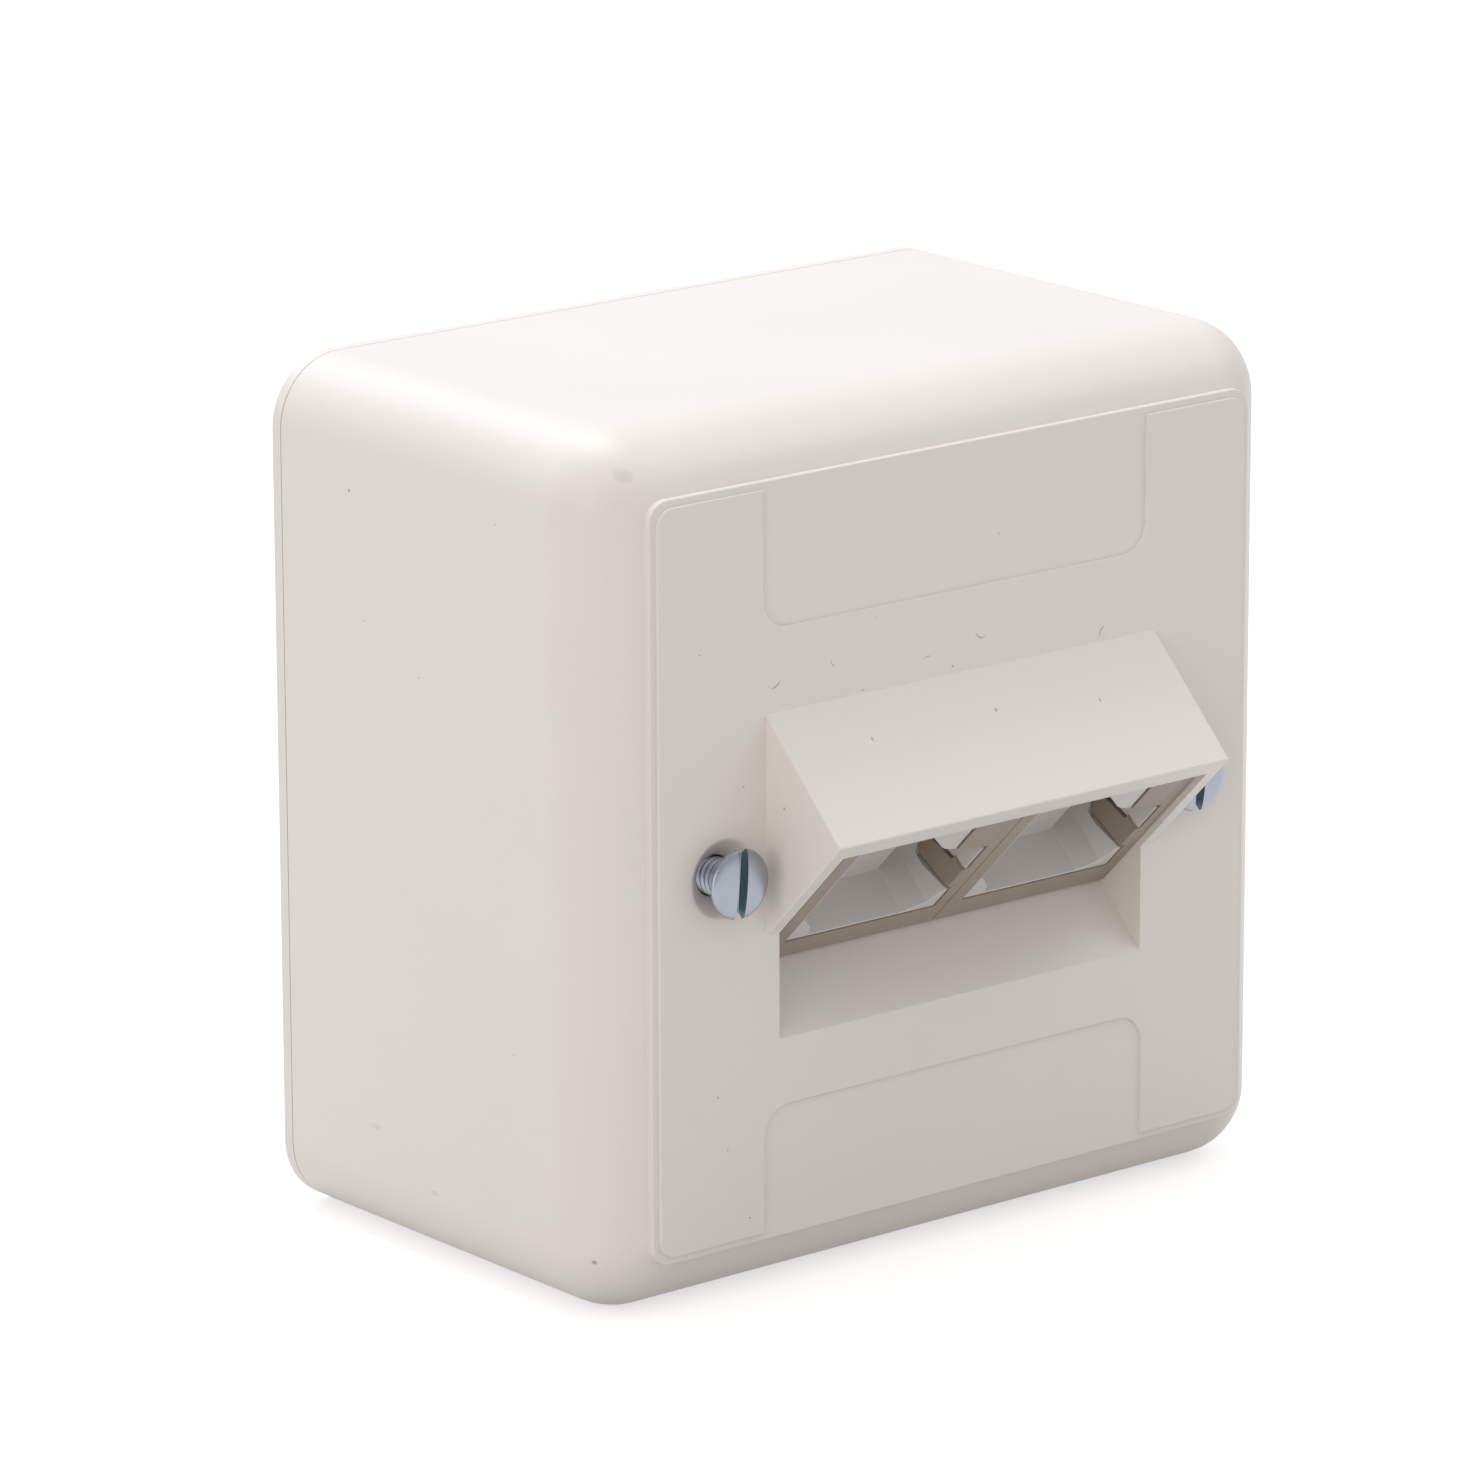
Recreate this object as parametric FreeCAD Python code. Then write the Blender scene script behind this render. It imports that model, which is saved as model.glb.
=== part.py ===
import FreeCAD, Part
import math
import os

from FreeCAD import Placement, Rotation, Vector

# A two-port surface mount jack box: a moulded cover on a base plate, with two angled outlets
# under a hood. Millimetres. X runs to the right, Y into the wall and Z up. The origin is the
# middle of the wall face: the wall is the plane y = 0 and the front field is y = -BOX_DEPTH.

# ---- box ------------------------------------------------------------------------------------
BOX_WIDTH = 80.0
BOX_HEIGHT = 80.0
BOX_DEPTH = 48.0
DEPTH_EDGE_R = 6.5
FRONT_EDGE_R = 8.0
COVER_WALL = 2.0
FRONT_WALL = 2.2
BASE_EDGE = 1.2
JOINT_GAP = 0.1

# ---- raised field and label tongues on the front ---------------------------------------------
FIELD_MARGIN_W = 5.7
FIELD_MARGIN_H = 6.0
FIELD_R = 1.7
FIELD_RISE = 0.3
RIM_W = 0.7
RIM_RISE = 0.1
TONGUE_HALF_W = 22.4
TONGUE_TOP_Z = 21.4
TONGUE_BOTTOM_Z = -22.4
TONGUE_R = 2.8

# ---- hood and the slanted port tube -----------------------------------------------------------
PORT_TILT = 45.0
PORT_X = 0.65
FLOOR_FRONT_Z = -16.2
PORT_INSET = 0.58
PORT_SETBACK = 5.3
HOOD_SIDE_WALL = 1.5
HOOD_LIP = 2.0
HOOD_TOP_Z = 13.8
TUBE_WALL = 1.5
TUBE_SKIRT = 3.5

# ---- cover screws -----------------------------------------------------------------------------
SCREW_TO_HOOD = 0.3
SCREW_R = 1.75
SCREW_LENGTH = 20.0
SCREW_TIP = 0.6
SCREW_Z = -0.27
HEAD_R = 3.18
HEAD_EDGE = 0.25
HEAD_CROWN = 0.4
HEAD_FACE_R = 1.8
SLOT_W = 1.0
SLOT_DEEP = 1.1
SLOT_TURN = 4.0
SCREW_BACKED_OUT = 2.3
COUNTERSINK_R = 3.42
SCREW_HOLE_R = 1.9
BOSS_DEEP = 3.4
BOSS_WALL = 1.5
RUNNING_GAP = 0.05
WASHER_R = 2.7
WASHER_THICK = 0.6
WASHER_TRAVEL = 3.1
MOVING_GAP = 0.3

# ---- base plate -------------------------------------------------------------------------------
PLATE_THICK = 2.5
RIM_WALL = 1.5
RIM_HEIGHT = 7.0
COVER_CLEARANCE = 0.2
TOWER_WALL = 1.2
TOWER_GAP = 0.3
NUT_R = 2.6
NUT_LENGTH = 8.0
PILOT_R = 2.1
PILOT_DEEP = 7.0
GUSSET_W = 1.4
GUSSET_REACH = 4.0
GUSSET_HEIGHT = 18.0
WALL_SLOT_X = 20.0
WALL_SLOT_Z = 30.0
WALL_SLOT_W = 4.4
WALL_SLOT_LENGTH = 8.0
ENTRY_RISE = 13.6
ENTRY_HOLE_R = 8.0

# ---- entry grommet ----------------------------------------------------------------------------
GROMMET_LIP_R = 9.6
GROMMET_BORE_R = 3.2
GROMMET_WEB = 1.2
GROMMET_WALL = 1.2
GROMMET_LIP_THICK = 1.1
GROMMET_SEAT_DEEP = 1.2

# ---- outlets, in the slanted frame: s to the right, n inwards, u upwards ------------------------
FRAME_WIDTH = 20.7
FRAME_HEIGHT = 19.2
FRAME_DEPTH = 9.0
FRAME_GAP = 0.1
FRAME_TO_RIGHT_WALL = 0.05
FRAME_TO_LEFT_WALL = 1.25
FRAME_LEFT = 1.75
FRAME_BOTTOM = 3.2
FRAME_RIGHT = 1.35
FRAME_TOP = 1.2
FRAME_COLLAR_N = 6.9
FRAME_EDGE_R = 0.4
FRAME_TOE = 0.45
ARM_FROM_TOP = 9.6
ARM_ROOT = 2.9
ARM_DROP = 1.1
ARM_TIP = 2.6
ARM_LENGTH = 5.0
ARM_NOSE = 0.5
ARM_SHOULDER = 0.6
ARM_PROUD = 0.6
FINGER_WIDTH = 5.3
FINGER_FROM_TOP = 5.0
FINGER_SLANT = 0.8
FINGER_THICK = 1.1
LATCH_CLEARANCE = 0.3

INSERT_CLEARANCE = 0.15
INSERT_RECESS = 0.1
INSERT_WALL = 0.2
INSERT_BACK = 6.8
POCKET_DEEP = 4.8
CHANNEL_DEEP = 6.3
CHANNEL_WIDTH = 3.6
POCKET_RIGHT_RISE = 0.9
POCKET_RIGHT_CHAMFER_W = 1.25
POCKET_RIGHT_CHAMFER_H = 2.9
POCKET_LEFT_CHAMFER_W = 2.3
POCKET_LEFT_CHAMFER_H = 3.1
TAB_FROM_TOP = 4.8
TAB_FOOT = 1.3
TAB_R = 2.9
TAB_THICK = 1.0
TAB_GAP = 0.28

# ---- jack modules -----------------------------------------------------------------------------
JACK_WIDTH = 18.4
JACK_HEIGHT = 17.4
JACK_LENGTH = 20.8
JACK_WALL = 1.4
JACK_FRONT = 1.6
JACK_EDGE = 0.6
PLUG_W = 11.8
PLUG_H = 8.4
LATCH_W = 6.2
LATCH_STEP = 1.6
JACK_FLANGE = 0.6
JACK_FLANGE_THICK = 1.2
SEAT_CLEARANCE = 0.1
CONTACT_COUNT = 8
CONTACT_PITCH = 1.02
CONTACT_W = 0.4
CONTACT_THICK = 0.3
CONTACT_BLOCK_H = 4.2
CONTACT_BLOCK_LENGTH = 9.0
CONTACT_REACH = 4.0
CONTACT_RISE = 3.4
BOARD_THICK = 1.2
IDC_WIDTH = 16.0
IDC_HEIGHT = 15.0
IDC_LENGTH = 8.0
IDC_COUNT = 4
IDC_PITCH = 3.6
IDC_SLOT_W = 1.0
IDC_SLOT_DEEP = 5.0
IDC_GROOVE_H = 4.6

# ---- module carrier -----------------------------------------------------------------------------
CARRIER_THICK = 2.0
CARRIER_WALL = 0.8
CARRIER_BELOW = 3.0
CARRIER_ABOVE = 1.4
CHEEK_DEEP = 5.0
FOOT_WIDTH = 7.0
FOOT_THICK = 2.0
FOOT_LOW_Z = 2.0
FOOT_HIGH_Z = 16.0
FOOT_PEDESTAL = 4.0

# ---- small screws and the cable clamp -----------------------------------------------------------
SMALL_SCREW_R = 1.1
SMALL_HEAD_R = 2.1
SMALL_HEAD_THICK = 1.3
SMALL_SCREW_LENGTH = 6.0
SMALL_SLOT_W = 0.6
SMALL_SLOT_DEEP = 0.6
SMALL_HOLE_R = 1.3
SMALL_BOSS_R = 2.8
ENTRY_TO_CLAMP = 11.9
CLAMP_HALF_W = 12.0
CLAMP_SCREW_X = 8.6
CLAMP_HEIGHT = 7.0
CLAMP_THICK = 2.4
CLAMP_PEDESTAL = 4.0
CLAMP_ARCH_R = 3.6
CLAMP_ARCH_WALL = 1.6

# ---- worked-out sizes ---------------------------------------------------------------------------
HALF_W = BOX_WIDTH / 2
HALF_H = BOX_HEIGHT / 2
FRONT_Y = -BOX_DEPTH
RIM_Y = FRONT_Y + FIELD_RISE
BODY_Y = RIM_Y + RIM_RISE
INNER_Y = BODY_Y + FRONT_WALL
COVER_BACK_Y = -BASE_EDGE - JOINT_GAP
FIELD_HALF_W = HALF_W - FIELD_MARGIN_W
FIELD_HALF_H = HALF_H - FIELD_MARGIN_H
FRAME_PITCH = FRAME_WIDTH + FRAME_GAP
TUBE_HALF_W = (2 * FRAME_WIDTH + FRAME_GAP + FRAME_TO_LEFT_WALL + FRAME_TO_RIGHT_WALL) / 2
TUBE_HEIGHT = FRAME_HEIGHT + FRAME_GAP
HOOD_HALF_W = TUBE_HALF_W + HOOD_SIDE_WALL
PAIR_SHIFT = (FRAME_TO_LEFT_WALL - FRAME_TO_RIGHT_WALL) / 2
PAIR_X = PORT_X + PAIR_SHIFT
ENTRY_Z = ENTRY_RISE - HALF_H
CLAMP_Z = ENTRY_Z + ENTRY_TO_CLAMP
SCREW_X = PORT_X + HOOD_HALF_W + SCREW_TO_HOOD + HEAD_R
BOSS_Y = FRONT_Y + BOSS_DEEP
HEAD_Y = FRONT_Y - SCREW_BACKED_OUT
TOWER_Y = BOSS_Y + TOWER_GAP
TOWER_BORE_R = WASHER_R + MOVING_GAP
TOWER_R = TOWER_BORE_R + TOWER_WALL
WASHER_Y = BOSS_Y + WASHER_TRAVEL
NUT_Y = WASHER_Y + WASHER_THICK + SCREW_BACKED_OUT + MOVING_GAP
RIM_HALF_W = HALF_W - COVER_WALL - COVER_CLEARANCE
RIM_HALF_H = HALF_H - COVER_WALL - COVER_CLEARANCE
WINDOW_RIGHT = FRAME_WIDTH - FRAME_RIGHT
WINDOW_TOP = FRAME_HEIGHT - FRAME_TOP
JACK_FRONT_N = FRAME_COLLAR_N + SEAT_CLEARANCE
JACK_BACK_N = JACK_FRONT_N + JACK_LENGTH
JACK_S = (FRAME_WIDTH - JACK_WIDTH) / 2
JACK_U = (FRAME_HEIGHT - JACK_HEIGHT) / 2
BOARD_N = JACK_BACK_N
IDC_N = BOARD_N + BOARD_THICK
FLANGE_N = JACK_BACK_N - IDC_LENGTH
CARRIER_N = FLANGE_N - CARRIER_THICK
CHEEK_OUTER = FRAME_PITCH / 2 + JACK_WIDTH / 2 + JACK_FLANGE + SEAT_CLEARANCE + CARRIER_WALL

TILT = Rotation(Vector(1, 0, 0), PORT_TILT)
TILT_SLOPE = math.tan(math.radians(PORT_TILT))
PORT_ORIGIN = Vector(PORT_X, FRONT_Y + PORT_SETBACK, FLOOR_FRONT_Z + PORT_SETBACK * TILT_SLOPE)
OVERCUT = 1.0
LONG = 200.0
SAME = 0.001


def box(x, y, z):
    """A block between two limits along each axis."""
    return Part.makeBox(x[1] - x[0], y[1] - y[0], z[1] - z[0], Vector(x[0], y[0], z[0]))


def cylinder(radius, x, y, z):
    """A round bar along Y between two limits."""
    return Part.makeCylinder(radius, y[1] - y[0], Vector(x, y[0], z), Vector(0, 1, 0))


def edges_along(solid, axis):
    """The straight edges of a solid that run along one axis."""
    found = []
    for edge in solid.Edges:
        run = edge.Vertexes[-1].Point.sub(edge.Vertexes[0].Point)
        if run.Length > SAME and run.cross(axis).Length < SAME:
            found.append(edge)
    return found


def edges_in_plane(solid, y):
    """The edges of a solid that lie in one plane square to Y."""
    return [edge for edge in solid.Edges if all(abs(v.Point.y - y) < SAME for v in edge.Vertexes)]


def plate(half_w, half_h, y, radius):
    """A flat plate square to Y with round corners."""
    block = box((-half_w, half_w), y, (-half_h, half_h))
    return block.makeFillet(radius, edges_along(block, Vector(0, 1, 0)))


def prism(points, axis, low, high):
    """A straight prism: points are the outline in the plane square to the axis."""
    if axis == "x":
        corners = [Vector(low, a, b) for a, b in points]
        run = Vector(high - low, 0, 0)
    else:
        corners = [Vector(a, low, b) for a, b in points]
        run = Vector(0, high - low, 0)
    outline = Part.makePolygon(corners + corners[:1])
    return Part.Face(outline).extrude(run)


def turned(outline, x, z):
    """Turn an outline of radius and y about an axis along Y."""
    corners = [Vector(x + radius, y, z) for radius, y in outline]
    face = Part.Face(Part.makePolygon(corners + corners[:1]))
    return face.revolve(Vector(x, 0, z), Vector(0, 1, 0), 360)


def tilted(shape):
    """Move a shape from the slanted frame of the outlets into the box."""
    placed = shape.copy()
    placed.Placement = Placement(PORT_ORIGIN, TILT).multiply(placed.Placement)
    return placed


def slant_point(n, u):
    """A point of the slanted frame as y and z of the box."""
    point = PORT_ORIGIN.add(TILT.multVec(Vector(0, n, u)))
    return (point.y, point.z)


def in_port(shape, left):
    """Place an outlet's piece, drawn from its frame's lower left corner."""
    moved = shape.copy()
    moved.translate(Vector(left, 0, 0))
    return tilted(moved)


def save(shape, node):
    """Write one piece."""
    shape.removeSplitter().exportStep("parts/" + node + ".step")


# ---- cover --------------------------------------------------------------------------------------
def cover_shell():
    """The open shell of the cover: round outside, chamfered inside its front."""
    outside = plate(HALF_W, HALF_H, (BODY_Y, COVER_BACK_Y), DEPTH_EDGE_R)
    outside = outside.makeFillet(FRONT_EDGE_R, edges_in_plane(outside, BODY_Y))
    inner_r = DEPTH_EDGE_R - COVER_WALL
    inside = plate(HALF_W - COVER_WALL, HALF_H - COVER_WALL, (INNER_Y, COVER_BACK_Y + OVERCUT), inner_r)
    inside = inside.makeChamfer(inner_r - SAME, edges_in_plane(inside, INNER_Y))
    return outside.cut(inside)


def front_field():
    """The rim and the raised field, with the two sunk label tongues."""
    back = BODY_Y + FRONT_WALL / 2
    rim = plate(FIELD_HALF_W + RIM_W, FIELD_HALF_H + RIM_W, (RIM_Y, back), FIELD_R + RIM_W / 2)
    field = plate(FIELD_HALF_W, FIELD_HALF_H, (FRONT_Y, back), FIELD_R)
    return rim.fuse(field.cut(label_tongue(TONGUE_TOP_Z, 1)).cut(label_tongue(TONGUE_BOTTOM_Z, -1)))


def label_tongue(inner_z, side):
    """The sunk place for a paper label, open to the rim, above or below the hood."""
    outer_z = side * (FIELD_HALF_H + OVERCUT)
    ends = sorted((inner_z, outer_z))
    sunk = box((-TONGUE_HALF_W, TONGUE_HALF_W), (FRONT_Y - OVERCUT, RIM_Y), ends)
    corners = [e for e in edges_along(sunk, Vector(0, 1, 0)) if abs(e.Vertexes[0].Z - inner_z) < SAME]
    return sunk.makeFillet(TONGUE_R, corners)


def hood():
    """The wedge that shades the outlets, solid before the tube is cut through it."""
    back = BODY_Y + FRONT_WALL / 2
    nose_y, nose_z = slant_point(-PORT_INSET, TUBE_HEIGHT + HOOD_LIP)
    low_z = nose_z - (FRONT_Y - nose_y) / TILT_SLOPE
    outline = [(FRONT_Y, HOOD_TOP_Z), (nose_y, nose_z), (FRONT_Y, low_z), (back, low_z), (back, HOOD_TOP_Z)]
    return prism(outline, "x", PORT_X - HOOD_HALF_W, PORT_X + HOOD_HALF_W)


def tube_walls():
    """The walls of the recess, which run in behind the front as far as the outlets' frames."""
    half = TUBE_HALF_W + TUBE_WALL
    sleeve = box((-half, half), (-LONG, TUBE_SKIRT), (-TUBE_WALL, TUBE_HEIGHT + TUBE_WALL))
    inside = box((-HALF_W, HALF_W), (BODY_Y + FRONT_WALL / 2, 0), (-HALF_H, HALF_H))
    return tilted(sleeve).common(inside)


def make_cover():
    """The moulded cover: shell, field, hood, recess and screw bosses in one piece."""
    body = cover_shell().fuse([front_field(), hood(), tube_walls()])
    boss_r = COUNTERSINK_R + BOSS_WALL
    for side in (-1, 1):
        body = body.fuse(cylinder(boss_r, side * SCREW_X, (BODY_Y + FRONT_WALL / 2, BOSS_Y), SCREW_Z))
    tube = box((-TUBE_HALF_W, TUBE_HALF_W), (-LONG, JACK_BACK_N), (0, TUBE_HEIGHT))
    body = body.cut(tilted(tube))
    sink = [
        (0, FRONT_Y - OVERCUT),
        (COUNTERSINK_R + OVERCUT, FRONT_Y - OVERCUT),
        (SCREW_HOLE_R, FRONT_Y + COUNTERSINK_R - SCREW_HOLE_R),
        (SCREW_HOLE_R, BOSS_Y + OVERCUT),
        (0, BOSS_Y + OVERCUT),
    ]
    for side in (-1, 1):
        body = body.cut(turned(sink, side * SCREW_X, SCREW_Z))
    return body


# ---- base ---------------------------------------------------------------------------------------
def screw_tower(x):
    """A tower that carries a brass nut for a cover screw, braced above and below."""
    tower = cylinder(TOWER_R, x, (TOWER_Y, -BASE_EDGE), SCREW_Z)
    reach = TOWER_R + GUSSET_REACH
    top = -PLATE_THICK - GUSSET_HEIGHT
    fin = [
        (top, SCREW_Z - TOWER_R),
        (-PLATE_THICK, SCREW_Z - reach),
        (-PLATE_THICK, SCREW_Z + reach),
        (top, SCREW_Z + TOWER_R),
    ]
    tower = tower.fuse(prism(fin, "x", x - GUSSET_W / 2, x + GUSSET_W / 2))
    tower = tower.cut(cylinder(TOWER_BORE_R, x, (TOWER_Y - OVERCUT, NUT_Y), SCREW_Z))
    tower = tower.cut(nut_body(x))
    return tower.cut(cylinder(PILOT_R, x, (NUT_Y, NUT_Y + NUT_LENGTH + PILOT_DEEP), SCREW_Z))


def nut_body(x):
    """The outside of a brass nut."""
    return cylinder(NUT_R, x, (NUT_Y, NUT_Y + NUT_LENGTH), SCREW_Z)


def wall_slot(x, z):
    """A slot for a wall screw, long across the box."""
    reach = (WALL_SLOT_LENGTH - WALL_SLOT_W) / 2
    through = (-PLATE_THICK - OVERCUT, OVERCUT)
    ends = [cylinder(WALL_SLOT_W / 2, x + side * reach, through, z) for side in (-1, 1)]
    middle = box((x - reach, x + reach), through, (z - WALL_SLOT_W / 2, z + WALL_SLOT_W / 2))
    return middle.fuse(ends)


def small_post(x, z, height):
    """A short post with a pilot hole for a small screw."""
    return cylinder(SMALL_BOSS_R, x, (-PLATE_THICK - height, -BASE_EDGE), z)


def small_pilot(x, z, height):
    """The pilot hole of a short post."""
    top = -PLATE_THICK - height
    return cylinder(SMALL_SCREW_R, x, (top - OVERCUT, top + SMALL_SCREW_LENGTH - OVERCUT), z)


def base_posts():
    """Where the small screws of the carrier and the clamp go in: x, z and post height."""
    foot_z = (FOOT_LOW_Z + FOOT_HIGH_Z) / 2
    foot_x = CHEEK_OUTER - FOOT_WIDTH / 2 - CARRIER_WALL / 2
    carrier = [(PAIR_X + side * foot_x, foot_z, FOOT_PEDESTAL) for side in (-1, 1)]
    clamp = [(side * CLAMP_SCREW_X, CLAMP_Z, CLAMP_PEDESTAL) for side in (-1, 1)]
    return carrier + clamp


def make_base_plate():
    """The base: a plate with a rim inside the cover, two screw towers and four short posts."""
    inner_r = DEPTH_EDGE_R - COVER_WALL - COVER_CLEARANCE
    base = plate(HALF_W, HALF_H, (-BASE_EDGE, 0), DEPTH_EDGE_R)
    raised = plate(RIM_HALF_W, RIM_HALF_H, (-PLATE_THICK, -BASE_EDGE), inner_r)
    rim = plate(RIM_HALF_W, RIM_HALF_H, (-PLATE_THICK - RIM_HEIGHT, -BASE_EDGE), inner_r)
    hollow = plate(RIM_HALF_W - RIM_WALL, RIM_HALF_H - RIM_WALL, (-LONG, 0), inner_r - RIM_WALL)
    base = base.fuse([raised, rim.cut(hollow)])
    base = base.fuse([screw_tower(side * SCREW_X) for side in (-1, 1)])
    base = base.fuse([small_post(x, z, height) for x, z, height in base_posts()])
    for x, z, height in base_posts():
        base = base.cut(small_pilot(x, z, height))
    for x in (-WALL_SLOT_X, WALL_SLOT_X):
        for z in (-WALL_SLOT_Z, WALL_SLOT_Z):
            base = base.cut(wall_slot(x, z))
    base = base.cut(cylinder(ENTRY_HOLE_R, 0, (-LONG, OVERCUT), ENTRY_Z))
    return base.cut(cylinder(GROMMET_LIP_R + COVER_CLEARANCE, 0, (-GROMMET_SEAT_DEEP, OVERCUT), ENTRY_Z))


def make_grommet():
    """The rubber entry: two lips that grip the plate's hole, and a thin web with a bore."""
    seat = -GROMMET_SEAT_DEEP
    back = seat + GROMMET_LIP_THICK
    front = -PLATE_THICK - GROMMET_LIP_THICK
    inner = ENTRY_HOLE_R - GROMMET_WALL
    outline = [
        (GROMMET_BORE_R, back),
        (GROMMET_BORE_R, back - GROMMET_WEB),
        (inner, back - GROMMET_WEB),
        (inner, front),
        (GROMMET_LIP_R, front),
        (GROMMET_LIP_R, -PLATE_THICK),
        (ENTRY_HOLE_R, -PLATE_THICK),
        (ENTRY_HOLE_R, seat),
        (GROMMET_LIP_R, seat),
        (GROMMET_LIP_R, back),
    ]
    return turned(outline, 0, ENTRY_Z)


# ---- screws -------------------------------------------------------------------------------------
def make_cover_screw(x):
    """A slotted cover screw with a raised countersunk head."""
    face = HEAD_Y - HEAD_CROWN
    neck = HEAD_Y + HEAD_EDGE + HEAD_R - SCREW_R
    tip = HEAD_Y + SCREW_LENGTH
    outline = [
        (0, face),
        (HEAD_FACE_R, face),
        (HEAD_R, HEAD_Y),
        (HEAD_R, HEAD_Y + HEAD_EDGE),
        (SCREW_R, neck),
        (SCREW_R, tip - SCREW_TIP),
        (SCREW_R - SCREW_TIP, tip),
        (0, tip),
    ]
    slot = box((x - SLOT_W / 2, x + SLOT_W / 2), (face - OVERCUT, face + SLOT_DEEP), (-LONG, LONG))
    slot.rotate(Vector(x, 0, SCREW_Z), Vector(0, 1, 0), SLOT_TURN)
    return turned(outline, x, SCREW_Z).cut(slot)


def make_washer(x):
    """The retaining washer that rides on a cover screw inside the box."""
    limits = (WASHER_Y, WASHER_Y + WASHER_THICK)
    return cylinder(WASHER_R, x, limits, SCREW_Z).cut(cylinder(SCREW_R + RUNNING_GAP, x, limits, SCREW_Z))


def make_nut(x):
    """The brass nut that is moulded into a tower."""
    return nut_body(x).cut(cylinder(SCREW_R + RUNNING_GAP, x, (NUT_Y, NUT_Y + NUT_LENGTH), SCREW_Z))


def make_small_screw(x, z, seat):
    """A small pan-head screw whose head rests on the plane y = seat."""
    top = seat - SMALL_HEAD_THICK
    head = cylinder(SMALL_HEAD_R, x, (top, seat), z)
    slot = box((x - SMALL_SLOT_W / 2, x + SMALL_SLOT_W / 2), (top - OVERCUT, top + SMALL_SLOT_DEEP),
               (z - SMALL_HEAD_R, z + SMALL_HEAD_R))
    shank = cylinder(SMALL_SCREW_R, x, (seat, seat + SMALL_SCREW_LENGTH), z)
    return head.cut(slot).fuse(shank)


# ---- outlets ------------------------------------------------------------------------------------
def make_port_frame():
    """The frame of an outlet: a square tube with a tapered latch arm and a finger plate."""
    body = box((0, FRAME_WIDTH), (0, FRAME_DEPTH), (0, FRAME_HEIGHT))
    body = body.makeFillet(FRAME_EDGE_R, edges_along(body, Vector(0, 1, 0)))
    toe = [(-OVERCUT, -OVERCUT), (FRAME_TOE + OVERCUT, -OVERCUT), (-OVERCUT, FRAME_TOE + OVERCUT)]
    body = body.cut(prism(toe, "x", -OVERCUT, FRAME_WIDTH + OVERCUT))
    window = box((FRAME_LEFT, WINDOW_RIGHT), (-OVERCUT, FRAME_COLLAR_N), (FRAME_BOTTOM, WINDOW_TOP))
    collar = box((JACK_S - SEAT_CLEARANCE, FRAME_WIDTH - JACK_S + SEAT_CLEARANCE),
                 (FRAME_COLLAR_N, FRAME_DEPTH + OVERCUT),
                 (JACK_U - SEAT_CLEARANCE, FRAME_HEIGHT - JACK_U + SEAT_CLEARANCE))
    body = body.cut(window).cut(collar)
    arm = prism(arm_outline(0), "x", WINDOW_RIGHT - ARM_PROUD, WINDOW_RIGHT + FRAME_RIGHT / 2)
    return body.fuse([arm, finger_plate(0)])


def arm_outline(room):
    """The latch arm seen from its side, as n and u, grown by some room all round."""
    high = FRAME_HEIGHT - ARM_FROM_TOP
    low = high - ARM_ROOT
    tip = low - ARM_DROP
    return [
        (0, low - room),
        (ARM_LENGTH - ARM_NOSE, tip - room),
        (ARM_LENGTH + room, tip + ARM_NOSE),
        (ARM_LENGTH + room, tip + ARM_TIP - ARM_SHOULDER),
        (ARM_LENGTH - ARM_SHOULDER, tip + ARM_TIP + room),
        (0, high + room),
    ]


def finger_plate(room):
    """The flat finger of the frame, in its front plane above the latch arm, with a slanted lower edge."""
    low = FRAME_HEIGHT - FINGER_FROM_TOP - room
    left = FRAME_WIDTH - FINGER_WIDTH - room
    right = WINDOW_RIGHT + FRAME_RIGHT / 2
    high = WINDOW_TOP + FRAME_TOP / 2
    outline = [(left, low), (right, low - FINGER_SLANT), (right, high), (left, high)]
    return prism(outline, "y", 0, FINGER_THICK + room)


def make_port_insert():
    """The insert that fills an outlet: a pocket with a deeper channel beside it, and a pull tab."""
    left = FRAME_LEFT + INSERT_CLEARANCE
    right = WINDOW_RIGHT - INSERT_CLEARANCE
    low = FRAME_BOTTOM + INSERT_CLEARANCE
    high = WINDOW_TOP - INSERT_CLEARANCE
    body = box((left, right), (INSERT_RECESS, INSERT_BACK), (low, high))
    inner_left = left + INSERT_WALL
    inner_right = right - INSERT_WALL
    inner_top = high - INSERT_WALL
    floor = low + INSERT_WALL
    channel_left = inner_right - CHANNEL_WIDTH
    channel_floor = [
        (channel_left, floor),
        (inner_right - POCKET_RIGHT_CHAMFER_W, floor + POCKET_RIGHT_RISE),
        (inner_right, floor + POCKET_RIGHT_CHAMFER_H),
        (inner_right, inner_top),
    ]
    pocket = channel_floor + [
        (inner_left, inner_top),
        (inner_left, floor + POCKET_LEFT_CHAMFER_H),
        (inner_left + POCKET_LEFT_CHAMFER_W, floor),
    ]
    channel = channel_floor + [(channel_left, inner_top)]
    body = body.cut(prism(pocket, "y", -OVERCUT, POCKET_DEEP))
    body = body.cut(prism(channel, "y", -OVERCUT, CHANNEL_DEEP))
    body = body.fuse(pull_tab(high))
    arm_room = prism(arm_outline(LATCH_CLEARANCE), "x", right - ARM_PROUD - LATCH_CLEARANCE, right + OVERCUT)
    return body.cut(arm_room).cut(finger_plate(LATCH_CLEARANCE))


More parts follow.
